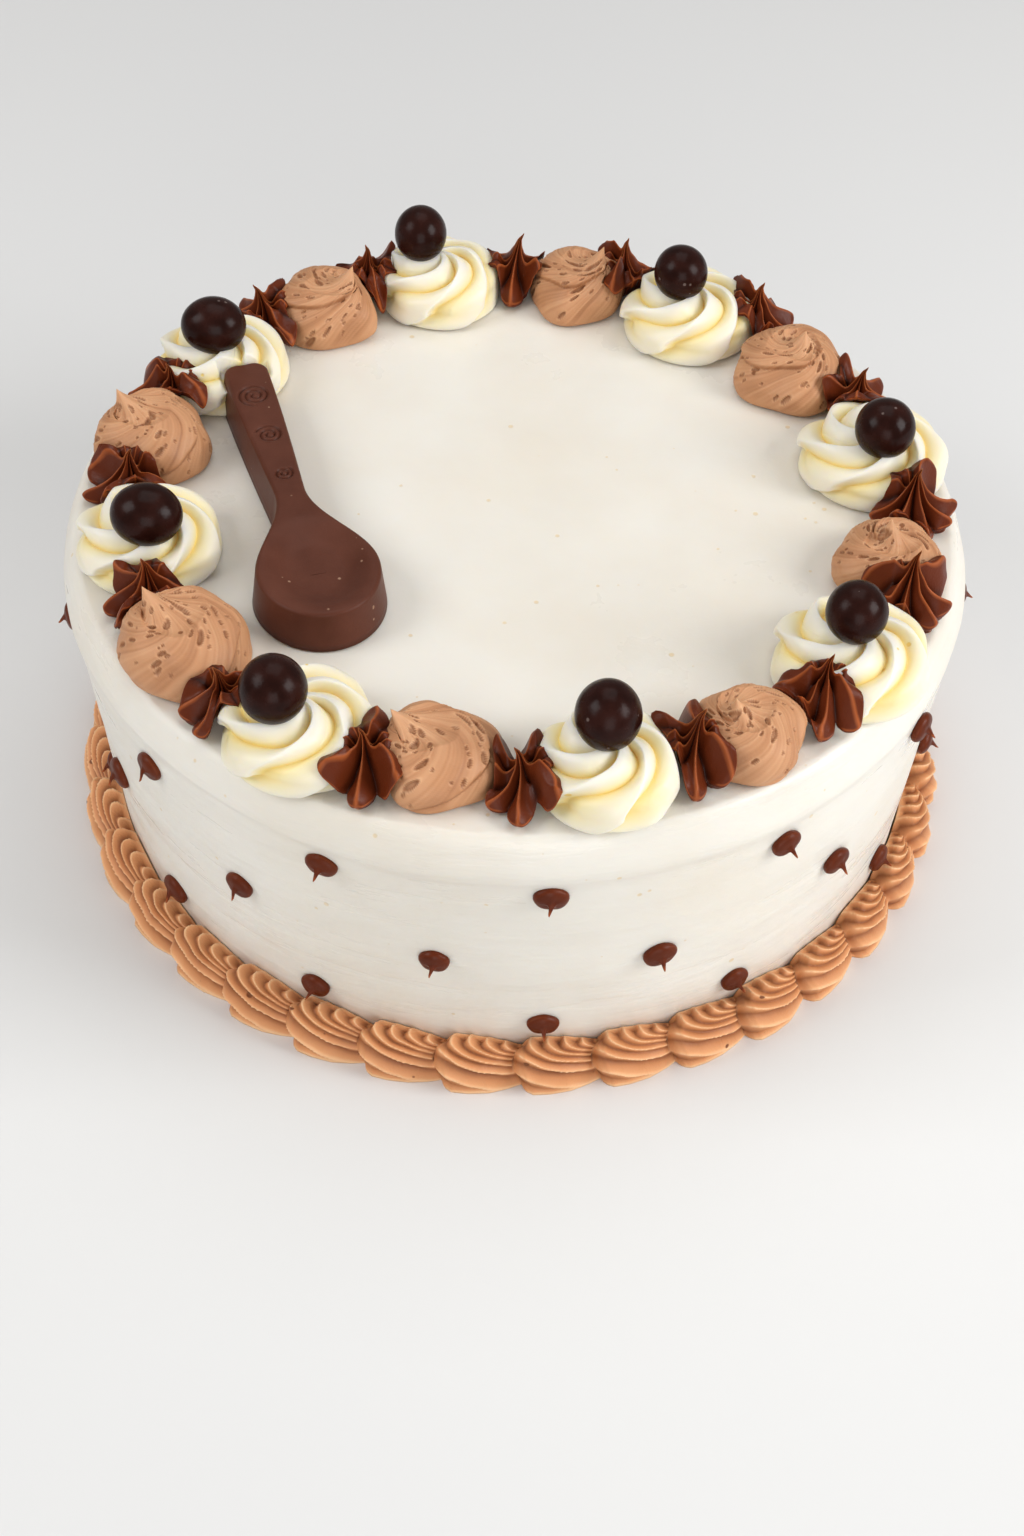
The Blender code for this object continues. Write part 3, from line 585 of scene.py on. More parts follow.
# The ramp runs from painted shade in the rib grooves to painted light on the ribs and the lowest edge.
border_stops = (
    (0.0, (0.27, 0.085, 0.026)), (0.35, (0.54, 0.222, 0.086)), (0.7, (0.70, 0.325, 0.142)),
    (0.95, (0.88, 0.53, 0.29)))
border_cream = cream_finish("border_cream", border_stops, (0.20, 0.065, 0.022), 0.05, 0.5)
fullness = np.array([hand.uniform(*SHELL_SIZES) for _ in range(SHELL_COUNT)])
for half in range(2):
    border_mesh = half_border(half, fullness)
    mark(border_mesh, "pit", np.zeros(len(border_mesh.vertices)))
    show(f"piped_border_{half + 1}", border_mesh, border_cream, "border_cream", "shell_border")


# The rosettes: buttercream wound once round from a six point star nozzle, so that thin sheets sweep
# clockwise from the middle to the rim. Light goes far into it, and the creases glow a deep yellow.
RING_COUNT = 8
RING_RADIUS = 90.0 * MM
FIRST_ROSETTE_ANGLE = math.radians(238.0)
# Drift round the ring in degrees, drift outwards, diameter, height, and the turn of the first sheet
ROSETTES = (
    (1.5, 1.5, 36.5, 13.5, 1.9), (0.0, 1.0, 33.5, 14.5, 0.6), (-2.5, 2.0, 37.5, 13.5, 2.6),
    (0.5, -1.5, 37.5, 12.5, 3.9), (2.5, -3.5, 35.5, 13.5, 5.2), (1.5, -1.0, 33.0, 14.0, 6.5),
    (-1.0, 0.5, 35.5, 13.5, 7.8), (-1.5, -2.0, 36.0, 12.5, 9.1),
)
ROSETTE_SHEETS = 6
ROSETTE_TWIST = math.radians(-120.0)
# How far the sheets still turn on their way down the side
ROSETTE_WRAP = math.radians(-26.0)
ROSETTE_CREASE = 3.1 * MM
ROSETTE_WOBBLE = 0.28 * MM
ROSETTE_TURNED = (222, 90)


def heap_outline(foot, rim_height, power):
    """Unit half section of a heap by its length: stops from 0 to 1, radii and heights, up to the peak."""
    under = [(share * foot, 0.0) for share in np.linspace(0.0, 1.0, 12)]
    side = [(foot + (1.0 - foot) * math.sin(turn), rim_height * (1.0 - math.cos(turn)))
            for turn in np.linspace(0.0, 0.5 * math.pi, 20)[1:]]
    over = []
    for turn in np.linspace(0.0, 0.5 * math.pi, 160)[1:]:
        radius = max(math.cos(turn), 0.0) ** (2.0 / power)
        over.append((radius, rim_height + (1.0 - rim_height) * math.sin(turn) ** (2.0 / power)))
    outline = np.array(under + side + over)
    steps = np.hypot(np.diff(outline[:, 0]), 0.45 * np.diff(outline[:, 1]))
    steps[:11] *= 0.25
    stops = np.concatenate(([0.0], np.cumsum(steps)))
    return stops / stops[-1], outline[:, 0], outline[:, 1], stops[30] / stops[-1]


def heap(name, blank, place, shape):
    """A closed heap: the columns and rings of a blank, put where shape says by turn and climb."""
    round_mesh, turn, climb = blank
    mesh = round_mesh.copy()
    mesh.name = name
    spots, marks = shape(turn, climb)
    put_points(mesh, spots + np.array(place))
    for key, values in marks.items():
        mark(mesh, key, values)
    return mesh


def ring_place(angle, radius):
    return Vector((radius * math.cos(angle), radius * math.sin(angle), CAKE_HEIGHT + 0.3 * MM))


def rosette_shape(diameter, height, start, dice):
    stops, radii, heights, rim = heap_outline(0.92, 0.30, 2.3)
    slope_r, slope_z = np.gradient(radii, stops), np.gradient(heights, stops)
    sheet_depths = np.array([dice.uniform(0.8, 1.15) for _ in range(ROSETTE_SHEETS)])
    radius, height = 0.5 * diameter * MM, height * MM

    def shape(turn, climb):
        share = np.interp(climb, stops, radii)
        rise = np.interp(climb, stops, heights)
        out, up = height * np.interp(climb, stops, slope_z), -radius * np.interp(climb, stops, slope_r)
        length = np.maximum(np.hypot(out, up), 1e-9)
        swept = np.where(climb > rim, share, 1.0)
        phase = ROSETTE_SHEETS * turn / FULL_TURN
        number = np.floor(phase + 1e-6).astype(int) % ROSETTE_SHEETS
        phase = np.clip(phase - np.floor(phase + 1e-6), 0.0, 1.0)
        turned = smooth_step(0.50, 0.98, swept)
        crease = 0.84 - 0.56 * turned
        slope = np.where(phase < crease, phase / crease, (1.0 - phase) / (1.0 - crease))
        steepness = np.where(phase < crease, 1.15 - 0.3 * turned, 0.85 + 0.3 * turned)
        groove = np.clip(slope, 0.0, 1.0) ** steepness
        groove = groove + 0.05 * np.exp(-(slope / 0.10) ** 2)
        near_crest = np.minimum(phase, 1.0 - phase)
        lean = (2.0 * turned - 1.0) * 0.115 * np.exp(-(near_crest / 0.13) ** 2)
        strength = smooth_step(0.02, 0.38, swept) * (0.30 + 0.70 * smooth_step(0.0, 0.28, rise))
        nearest = np.where(phase > 0.5, (number + 1) % ROSETTE_SHEETS, number)
        depth = ROSETTE_CREASE * groove * strength * (0.5 * sheet_depths[nearest] + 0.5)
        wrapped = ROSETTE_WRAP * np.clip((rim - climb) / (rim - stops[11]), 0.0, 1.0)
        angle = start + turn + lean * FULL_TURN / ROSETTE_SHEETS + ROSETTE_TWIST * swept ** 1.1 + wrapped
        reach = np.maximum(radius * share - depth * out / length, 0.0)
        level = np.maximum(height * rise - depth * up / length, 0.0)
        level = np.where(climb < stops[11], 0.0, level)
        spots = np.stack((reach * np.cos(angle), reach * np.sin(angle), level), axis=1)
        wobble = ROSETTE_WOBBLE * ripples(spots, dice, 11.0 * MM) * smooth_step(0.0, 1.5 * MM, level)
        spots[:, 0] += wobble * np.cos(angle) * out / length
        spots[:, 1] += wobble * np.sin(angle) * out / length
        spots[:, 2] += wobble * up / length * (level > 0.0)
        # Painted shade and glow: the creases are coloured deep yellow in place of the shade in them and the
        # light glowing through the cream.
        painted_crease_glow = strength * np.clip(groove, 0.0, 1.0) ** 1.2
        shade = np.where(phase < crease, painted_crease_glow, painted_crease_glow ** 0.5 * 0.9)
        return spots, {"crease": shade}

    return shape


def buttercream_finish():
    material, tree, shader = new_finish(
        "buttercream", Roughness=0.38, Subsurface_Weight=0.45, Subsurface_Radius=(1.0, 0.8, 0.35),
        Subsurface_Scale=0.005, Specular_IOR_Level=0.35)
    place = object_place(tree)
    bubble = air_bubbles(tree, place, 330.0, 0.03, 0.1, 0.3)
    tree.links.new(bubble["Normal"], shader.inputs["Normal"])
    depth = wander(tree, marked(tree, "crease"), noise(tree, place, 70.0, 3.0), 0.12)
    # The ramp paints the crests pale and the creases a glowing deep yellow; the bubble pits get the same
    # painted yellow.
    glow = colour_ramp(tree, depth, (
        (0.04, (0.81, 0.775, 0.69)), (0.30, (0.81, 0.75, 0.60)), (0.65, (0.83, 0.73, 0.45)),
        (0.97, (0.88, 0.68, 0.21))))
    paint(tree, shader, glow, bubble["Mask"], (0.78, 0.58, 0.18))
    return material


def tuck_under_spoon(mesh):
    """Keeps the cream that the spoon's handle presses on below the handle's top."""
    points = points_of(mesh)
    reach = points - np.array(SPOON_BOWL_END)
    along = reach[:, 0] * math.cos(SPOON_DIRECTION) + reach[:, 1] * math.sin(SPOON_DIRECTION)
    away = np.abs(reach[:, 1] * math.cos(SPOON_DIRECTION) - reach[:, 0] * math.sin(SPOON_DIRECTION))
    inside = smooth_step(0.5 * SPOON_HANDLE_WIDTH, 0.5 * SPOON_HANDLE_WIDTH - 0.6 * MM, away)
    inside *= smooth_step(SPOON_LENGTH, SPOON_LENGTH - 0.6 * MM, along) * (along > 0.5 * SPOON_LENGTH)
    pressed = np.minimum(points[:, 2], CAKE_HEIGHT + SPOON_THICKNESS - 2.5 * MM)
    points[:, 2] += (pressed - points[:, 2]) * inside
    put_points(mesh, points)


# The spoon lies over the edge of one rosette: its length, thickness, handle, and how it lies
SPOON_LENGTH = 97.0 * MM
SPOON_THICKNESS = 10.3 * MM
SPOON_HANDLE_WIDTH = 13.2 * MM
SPOON_BOWL_END = Vector((-39.9 * MM, -49.6 * MM, 0.0))
SPOON_DIRECTION = math.radians(107.7)

buttercream = buttercream_finish()
rosette_blank = round_blank(*ROSETTE_TURNED)
swirl_angles = []
heaps = []
for index, (drift, outwards, diameter, height, start) in enumerate(ROSETTES):
    angle = FIRST_ROSETTE_ANGLE + FULL_TURN * index / RING_COUNT + math.radians(drift)
    swirl_angles.append(angle)
    name = f"rosette_{index + 1}"
    shape = rosette_shape(diameter, height, start, random.Random(100 + index))
    place = ring_place(angle, RING_RADIUS + outwards * MM)
    mesh = heap(f"piped_{name}", rosette_blank, place, shape)
    tuck_under_spoon(mesh)
    heaps.append(mesh)
    show(f"piped_{name}", mesh, buttercream, "buttercream", name)


# The balls: crisp centres rolled in dark chocolate until they shine, none of them quite round, each
# pressed into the middle of a rosette.
BALL_TURNED = (56, 36)
BALL_SHARE = 0.992
BALL_UNEVEN = 0.006


def ball_finish():
    material, tree, shader = new_finish(
        "dark_coating", Roughness=0.24, Specular_IOR_Level=0.09)
    place = object_place(tree)
    cloud = noise(tree, place, 210.0, 5.0)
    bubble = air_bubbles(tree, place, 640.0, 0.05, 0.1, 0.35)
    dents = new_node(tree, "ShaderNodeBump", Strength=0.25, Distance=0.6 * MM, Height=cloud,
                     Normal=bubble["Normal"])
    tree.links.new(dents.outputs["Normal"], shader.inputs["Normal"])
    ground = colour_ramp(tree, cloud, ((0.35, (0.014, 0.0038, 0.0026)), (0.65, (0.026, 0.0070, 0.0048))))
    paint(tree, shader, ground, bubble["Mask"], (0.12, 0.085, 0.075))
    vary_shine(tree, shader, cloud, (0.3, 0.7), (0.17, 0.32))
    return material


dark_coating = ball_finish()
ball_blank = round_blank(*BALL_TURNED)
for index in range(RING_COUNT):
    name = f"chocolate_ball_{index + 1}"
    low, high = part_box(name)
    mesh = ball_blank[0].copy()
    mesh.name = f"coated_{name}"
    middle = np.array((low + high) / 2.0)
    points = points_of(mesh) * np.array((high - low) / 2.0) + middle
    uneven = ripples(points, random.Random(300 + index), 9.0 * MM)[:, None]
    put_points(mesh, middle + (points - middle) * (BALL_SHARE + BALL_UNEVEN * uneven))
    show(f"coated_{name}", mesh, dark_coating, "dark_coating", name)


# The dollops: airy mocha cream turned once or twice from a plain nozzle and pulled off to a curled peak.
# The nozzle drags the burst bubbles out into long pits and combs fine streaks round the heap.
# Drift round the ring in degrees, drift outwards, diameter, height, place of the peak from the foot's middle
DOLLOPS = (
    (-0.5, -3.0, 29.5, 13.0, (-11.0, 2.8, 13.0)), (-1.5, 2.0, 27.0, 13.0, (-3.6, -2.7, 15.0)),
    (-2.5, -0.8, 27.0, 12.0, (-1.0, 1.0, 14.0)), (2.5, -4.0, 29.5, 13.5, (3.0, 0.5, 14.0)),
    (0.5, -2.5, 26.0, 13.0, (6.8, -0.5, 15.0)), (-0.5, -0.3, 27.5, 14.0, (7.8, 0.3, 15.5)),
    (-2.5, 0.7, 29.0, 15.0, (-8.2, 0.4, 17.0)), (0.8, 0.9, 31.5, 15.0, (-9.4, 3.2, 17.0)),
)
DOLLOP_UNEVEN = 0.05
DOLLOP_TURNED = (264, 96)
DOLLOP_SWEEP = 2.6
DOLLOP_LEDGE = 1.3 * MM
# Streaks, folds and sagging of the cream, and how the horn stands over the heap and hollows it round
COMB_DEPTH = 0.10 * MM
FOLD_DEPTH = 0.45 * MM
DOLLOP_SAG = 0.35 * MM
HORN_RISE = 2.0 * MM
HORN_DIP = 7.0 * MM
DOLLOP_PITS = 90
PIT_DEPTH = 0.9 * MM
COMB_WAVES = (5, 13, 19, 29, 41, 53, 61)


def dollop_shape(diameter, height, peak, phase, dice):
    stops, radii, heights, rim = heap_outline(0.93, 0.26, 2.0)
    foot_stop = stops[11]
    radius, height = 0.5 * diameter * MM, height * MM
    peak = np.array(peak) * MM
    ledge_start = math.atan2(peak[1], peak[0]) + dice.uniform(1.5, 2.6)
    combs = [(wave, dice.uniform(0.0, FULL_TURN), dice.uniform(0.5, 1.0)) for wave in COMB_WAVES]
    pits = [(dice.uniform(0.0, FULL_TURN), dice.uniform(0.12, 0.92), dice.uniform(0.0, 1.0) ** 3)
            for _ in range(DOLLOP_PITS)]

    def shape(turn, climb):
        share = np.interp(climb, stops, radii)
        rise = np.interp(climb, stops, heights)
        from_top = np.clip((1.0 - climb) / (1.0 - foot_stop), 0.0, 1.0)
        slope_out = np.interp(climb, stops, np.gradient(heights, stops)) * height
        slope_up = -np.interp(climb, stops, np.gradient(radii, stops)) * radius
        length = np.maximum(np.hypot(slope_out, slope_up), 1e-9)
        out, up = slope_out / length, np.maximum(slope_up / length, 0.0)
        shown = smooth_step(0.99, 0.88, from_top) * smooth_step(0.02, 0.22, from_top)
        swept = turn + DOLLOP_SWEEP * from_top
        comb = sum(size * np.sin(wave * swept + start) for wave, start, size in combs) / math.sqrt(len(combs))
        fold = 1.0 - np.abs(np.sin(2.0 * swept + phase + 0.8 * np.sin(swept))) ** 0.35
        coil = ((turn - ledge_start) / FULL_TURN + 1.05 * from_top) % 1.0
        ledge = smooth_step(0.0, 0.9, coil) * smooth_step(1.0, 0.955, coil)
        crease = np.exp(-((coil - 0.985) / 0.02) ** 2)
        swell = DOLLOP_LEDGE * (ledge - 0.6) * shown
        swell += (COMB_DEPTH * comb - FOLD_DEPTH * fold * smooth_step(0.75, 0.2, from_top)) * shown
        pit = np.zeros(len(turn))
        shadow = np.zeros(len(turn))
        rim_light = np.zeros(len(turn))
        arc = radius + 0.6 * height
        for pit_turn, pit_place, pit_size in pits:
            east = ((turn - pit_turn + math.pi) % FULL_TURN - math.pi) * radius * np.maximum(share, 0.1)
            down = (from_top - pit_place) * arc
            slant = np.array((-DOLLOP_SWEEP * radius * 0.9, arc))
            slant /= np.linalg.norm(slant)
            lengthwise = (east * slant[0] + down * slant[1]) / ((0.50 + 1.60 * pit_size) * MM)
            athwart = (down * slant[0] - east * slant[1]) / ((0.26 + 0.36 * pit_size) * MM)
            away = np.hypot(lengthwise, athwart)
            pit = np.maximum(pit, smooth_step(1.15, 0.65, away) * (0.45 + 0.55 * pit_size))
            darker_edge = 0.34 + 0.42 * smooth_step(0.3, 0.9, away)
            shadow = np.maximum(shadow, smooth_step(1.25, 0.90, away) * darker_edge)
            rim_light = np.maximum(rim_light, np.exp(-((away - 1.25) / 0.22) ** 2))
        pit *= smooth_step(0.0, 0.12, rise)
        swell -= PIT_DEPTH * pit
        bulge = DOLLOP_UNEVEN * (np.sin(3.0 * turn + phase) + 0.6 * np.sin(5.0 * turn - phase) - 1.0)
        spread = radius * share * (1.0 + bulge) + swell * out
        level = height * rise + swell * up * (rise > 0.01)
        crown = np.clip(1.0 - share / 0.50, 0.0, 1.0) * (climb > rim)
        pull = crown ** 1.3
        lean = 0.4 * rise ** 3 * (1.0 - pull) + pull
        horn = (peak[2] + HORN_RISE - height) * crown ** 2 - HORN_DIP * crown * (1.0 - crown)
        spots = np.stack((
            spread * np.cos(turn) + peak[0] * lean, spread * np.sin(turn) + peak[1] * lean,
            np.maximum(level, 0.0) + horn), axis=1)
        sag = DOLLOP_SAG * ripples(spots, dice, 9.0 * MM) * smooth_step(0.0, 1.5 * MM, spots[:, 2])
        spots[:, 0] += sag * np.cos(turn) * share
        spots[:, 1] += sag * np.sin(turn) * share
        # Painted light and shade: lighter along the comb streaks, at the peak and round the pit rims, darker
        # in the coil's crease and in the folds; the pits get a painted shadow.
        light = 0.50 + 0.13 * comb * shown + 0.22 * crown + 0.18 * rim_light
        light -= 0.35 * crease * shown + 0.25 * fold * shown
        return spots, {"crest_and_painted_light": light, "pit": shadow * smooth_step(0.0, 0.12, rise)}

    return shape


# The ramp runs from painted shade to painted light.
mocha_stops = (
    (0.0, (0.29, 0.112, 0.044)), (0.45, (0.515, 0.25, 0.120)), (1.0, (0.74, 0.43, 0.24)))
mocha_cream = cream_finish("mocha_cream", mocha_stops, (0.24, 0.085, 0.028), 0.05, 0.35)
dollop_blank = round_blank(*DOLLOP_TURNED)
dollop_angles = []
for index, (drift, outwards, diameter, height, peak) in enumerate(DOLLOPS):
    angle = FIRST_ROSETTE_ANGLE + FULL_TURN * (index + 0.5) / RING_COUNT + math.radians(drift)
    dollop_angles.append(angle)
    name = f"dollop_{index + 1}"
    shape = dollop_shape(diameter, height, peak, hand.uniform(0.0, FULL_TURN), random.Random(200 + index))
    mesh = heap(f"piped_{name}", dollop_blank, ring_place(angle, RING_RADIUS + outwards * MM), shape)
    heaps.append(mesh)
    show(f"piped_{name}", mesh, mocha_cream, "mocha_cream", name)


# The stars: stiff fudge pressed from a deep star nozzle into each gap of the ring and pulled up to a thin
# bent tip. The fins are sharp crests with hollow faces between them, and lie up on the heaps beside them.
STAR_RADIUS = 10.4 * MM
STAR_RING_RADIUS = 94.0 * MM
# How far the last of the tip hooks over, in millimetres as the lean in the table below
STAR_HOOK = 0.6
STAR_WOBBLE = 0.20 * MM
STAR_FINS = 8
STAR_TURNED = (STAR_FINS * 20, 58)
# Drift from the middle of the two neighbours in degrees round the ring, and outwards, height,
# direction of one fin, sideways lean of the tip
STARS = (
    (1.0, -0.5, 14.5, 36.0, -1.2), (0.5, -2.0, 13.5, 38.0, -2.1), (1.5, -2.0, 18.0, 4.0, 1.8),
    (2.0, 0.0, 17.0, 40.0, 0.8), (4.0, 1.0, 18.5, 37.0, 1.3), (0.5, 0.0, 15.0, 15.0, 0.6),
    (1.0, -1.0, 14.0, 7.0, 2.0), (2.0, 1.0, 15.5, 18.0, 1.4), (3.0, -1.0, 17.5, 28.0, 0.2),
    (-1.0, -3.0, 17.0, 41.0, 1.9), (0.5, 0.5, 16.0, 17.0, -0.2), (-2.5, 1.0, 14.5, 38.0, -2.8),
    (-1.5, 0.0, 12.5, 3.0, -1.2), (-2.0, -1.0, 13.5, 20.0, 0.2), (0.3, -2.6, 15.5, 14.0, -0.8),
    (0.5, 1.0, 14.5, 12.0, -1.6),
)
# Side view of a fin's edge and of the groove between two, from the foot's middle to the tip
FIN_EDGE = (
    (0.0, 0.0), (0.84, 0.0), (1.02, 0.03), (1.09, 0.09), (1.10, 0.16), (1.03, 0.23), (0.88, 0.29),
    (0.68, 0.36), (0.47, 0.45), (0.30, 0.56), (0.17, 0.70), (0.08, 0.85), (0.0, 1.0),
)
FIN_GROOVE = (
    (0.0, 0.0), (0.56, 0.0), (0.68, 0.02), (0.73, 0.06), (0.71, 0.10), (0.62, 0.13), (0.49, 0.17),
    (0.36, 0.23), (0.24, 0.32), (0.14, 0.45), (0.07, 0.61), (0.03, 0.80), (0.0, 1.0),
)


# The squares in which the neighbours' heights are kept, and how far out these go
HEIGHT_CELL = 0.7 * MM
HEIGHT_REACH = 120.0 * MM
# How far up its neighbours a fin may lie, and where on the way out it starts to rise
STAR_CLIMB = 7.6 * MM
CLIMB_STARTS = (0.10, 0.42)


def neighbour_heights():
    """How high the rosettes and dollops stand over the icing, in small squares of the cake's top."""
    count = int(2.0 * HEIGHT_REACH / HEIGHT_CELL)
    heights = np.zeros((count, count))
    for mesh in heaps:
        points = points_of(mesh)
        cells = ((points[:, :2] + HEIGHT_REACH) / HEIGHT_CELL).astype(int)
        np.maximum.at(heights, (cells[:, 0], cells[:, 1]), points[:, 2] - CAKE_HEIGHT - 0.3 * MM)
    for axis in (0, 1):
        heights = np.max([np.roll(heights, shift, axis) for shift in (-1, 0, 1)], axis=0)
    for _ in range(3):
        for axis in (0, 1):
            heights = sum(np.roll(heights, shift, axis) for shift in (-1, 0, 1)) / 3.0
    return heights


def height_under(heights, east, north):
    place = np.stack((east, north)) / HEIGHT_CELL + HEIGHT_REACH / HEIGHT_CELL - 0.5
    cell = np.floor(place).astype(int)
    share = place - cell
    total = np.zeros(east.shape)
    for right in (0, 1):
        for up in (0, 1):
            weight = np.abs(1.0 - right - share[0]) * np.abs(1.0 - up - share[1])
            total += weight * heights[cell[0] + right, cell[1] + up]
    return total


def star_shape(place, height, fin_direction, tip_lean, heights, dice):
    sways = np.array([dice.uniform(-0.20, 0.20) for _ in range(STAR_FINS + 1)])
    reaches = np.array([dice.uniform(0.90, 1.12) for _ in range(STAR_FINS)])
    lifts = np.array([dice.uniform(-0.03, 0.06) for _ in range(STAR_FINS)])
    sways[-1] = sways[0]
    # A fin that would run too far up a neighbour is cut short
    tries = np.linspace(1.2, 0.5, 36) * STAR_RADIUS
    for number in range(STAR_FINS):
        pointing = math.radians(fin_direction) + FULL_TURN * number / STAR_FINS
        east, north = tries * math.cos(pointing), tries * math.sin(pointing)
        free = tries[height_under(heights, place.x + east, place.y + north) < STAR_CLIMB]
        furthest = free[0] / STAR_RADIUS / 1.10 if len(free) else 0.5
        reaches[number] = min(reaches[number], furthest)

    def shape(turn, climb):
        fin_radius, fin_level = eased(FIN_EDGE, climb)
        groove_radius, groove_level = eased(FIN_GROOVE, climb)
        phase = STAR_FINS * turn / FULL_TURN
        nearest = np.floor(phase + 0.5 + 1e-6)
        number = nearest.astype(int) % STAR_FINS
        beside = np.clip(np.abs(phase - nearest) * 2.0, 0.0, 1.0)
        thinning = smooth_step(0.12, 0.75, fin_level)
        fin = (1.0 - beside ** (1.75 - 0.75 * thinning)) ** (0.95 + 0.4 * thinning)
        radius = groove_radius + (fin_radius * reaches[number] - groove_radius) * fin
        crest_and_painted_light = np.exp(-(beside / 0.15) ** 2)
        on_lobe = smooth_step(0.25, 0.9, radius)
        level = groove_level + (fin_level - groove_level) * (1.0 - beside ** 0.85)
        level = level + (lifts[number] * on_lobe + 0.018 * crest_and_painted_light) * (level > 0.02)
        sway = np.interp(phase, np.arange(STAR_FINS + 1), sways)
        bent = 1.3 * sway * np.sin(math.pi * np.clip(radius, 0.0, 1.0))
        pointing = math.radians(fin_direction) + turn + bent
        spread = STAR_RADIUS * radius
        tip = np.clip(level, 0.0, 1.0)
        lean = tip_lean * tip ** 2 + STAR_HOOK * math.copysign(1.0, tip_lean) * smooth_step(0.86, 1.0, tip)
        east, north = spread * np.cos(pointing), spread * np.sin(pointing)
        under = height_under(heights, place.x + east, place.y + north)
        raised = np.minimum(under, STAR_CLIMB + 0.5 * MM) * smooth_step(*CLIMB_STARTS, radius)
        thinner = 1.0 - 0.30 * np.clip(raised / STAR_CLIMB, 0.0, 1.0)
        spots = np.stack((east + lean * MM, north, height * MM * level * thinner + raised), axis=1)
        wobble = STAR_WOBBLE * ripples(spots, dice, 5.0 * MM) * smooth_step(0.0, 1.5 * MM, spots[:, 2])
        spots[:, 0] += wobble * np.cos(pointing) * smooth_step(0.0, 0.3, radius)
        spots[:, 1] += wobble * np.sin(pointing) * smooth_step(0.0, 0.3, radius)
        # Painted light and shade: dark grooves between the fins, lighter fins, painted highlights along the
        # fin crests and round the lobes' brim, and a lighter tip.
        brim = np.exp(-((climb - 0.31) / 0.040) ** 2) * (0.4 + 0.6 * smooth_step(0.1, 0.6, fin))
        light = 0.10 + 0.36 * np.clip(fin * 1.8, 0.0, 1.0) + 0.42 * np.maximum(crest_and_painted_light, 0.85 * brim)
        return spots, {"crest_and_painted_light": light + 0.12 * smooth_step(0.7, 1.0, level)}

    return shape


star_blank = round_blank(*STAR_TURNED)
heights = neighbour_heights()
swirls = [angle for pair in zip(swirl_angles, dollop_angles) for angle in pair]
for index, (before, after) in enumerate(zip(swirls, swirls[1:] + swirls[:1])):
    drift, outwards, height, fin_direction, tip_lean = STARS[index]
    angle = before + 0.5 * ((after - before) % FULL_TURN) + math.radians(drift)
    name = f"fudge_star_{index + 1}"
    place = ring_place(angle, STAR_RING_RADIUS + outwards * MM)
    shape = star_shape(place, height, fin_direction, tip_lean, heights, random.Random(400 + index))
    mesh = heap(f"piped_{name}", star_blank, place, shape)
    show(f"piped_{name}", mesh, fudge, "fudge", name)


# The spoon: milk chocolate cast in a mould, so its sides lean in a little towards the top, its edges are
# soft, and the bowl is a shallow dish. Three spirals are pressed into the handle.
SPOON_BOWL_WIDTH = 31.0 * MM
SPOON_WIDEST = 17.5 * MM
SPOON_NECK = 46.0 * MM
SPOON_NECK_WIDTH = 9.6 * MM
SPOON_END_ROUND = 4.5 * MM
SPOON_DRAFT = 1.1 * MM
SPOON_EDGE = 1.0 * MM
BOWL_HOLLOW_MIDDLE = 18.5 * MM
BOWL_HOLLOW_DEPTH = 2.2 * MM
# Each spiral: its middle along the spoon, its radius, how many turns
SPIRALS = ((83.0 * MM, 4.2 * MM, 2.5), (67.3 * MM, 3.4 * MM, 2.2), (52.2 * MM, 2.4 * MM, 1.9))
SPIRAL_GROOVE = 0.30 * MM
SPIRAL_DEPTH = 0.62 * MM
# Rows of the spoon's grid at which the top, the round edge, the side and the foot end
SPOON_ROWS = (30, 37, 42, 46)


def spoon_half_width(along):
    """Half the spoon's width at a distance from the tip of its bowl: round, pear shaped, then the handle."""
    bowl = 0.5 * SPOON_BOWL_WIDTH
    neck = 0.5 * SPOON_NECK_WIDTH
    if along < SPOON_WIDEST:
        return bowl * math.sqrt(max(0.0, 1.0 - (1.0 - along / SPOON_WIDEST) ** 2))
    if along < SPOON_NECK:
        run = (along - SPOON_WIDEST) / (SPOON_NECK - SPOON_WIDEST)
        return neck + 0.5 * (bowl - neck) * (1.0 + math.cos(math.pi * run))
    run = (along - SPOON_NECK) / (SPOON_LENGTH - SPOON_NECK)
    handle = neck + (0.5 * SPOON_HANDLE_WIDTH - neck) * math.sin(0.5 * math.pi * run)
    into_end = max(0.0, along - (SPOON_LENGTH - SPOON_END_ROUND))
    return handle - SPOON_END_ROUND + math.sqrt(max(0.0, SPOON_END_ROUND ** 2 - into_end ** 2))


def pressed_spirals(along, away):
    """How deep the mould's spirals press into the handle's top at each place."""
    depth = np.zeros(len(along))
    for middle, radius, turns in SPIRALS:
        east, north = along - middle, away
        reach, turn = np.hypot(east, north), np.arctan2(north, east) % FULL_TURN
        for lap in range(int(math.ceil(turns))):
            wound = (turn / FULL_TURN + lap) / turns
            gap = np.abs(reach - radius * (0.10 + 0.90 * wound))
            ends = smooth_step(1.0, 0.97, wound) * smooth_step(0.0, 0.04, wound)
            depth = np.maximum(depth, SPIRAL_DEPTH * np.exp(-(gap / SPIRAL_GROOVE) ** 2) * ends)
    return depth


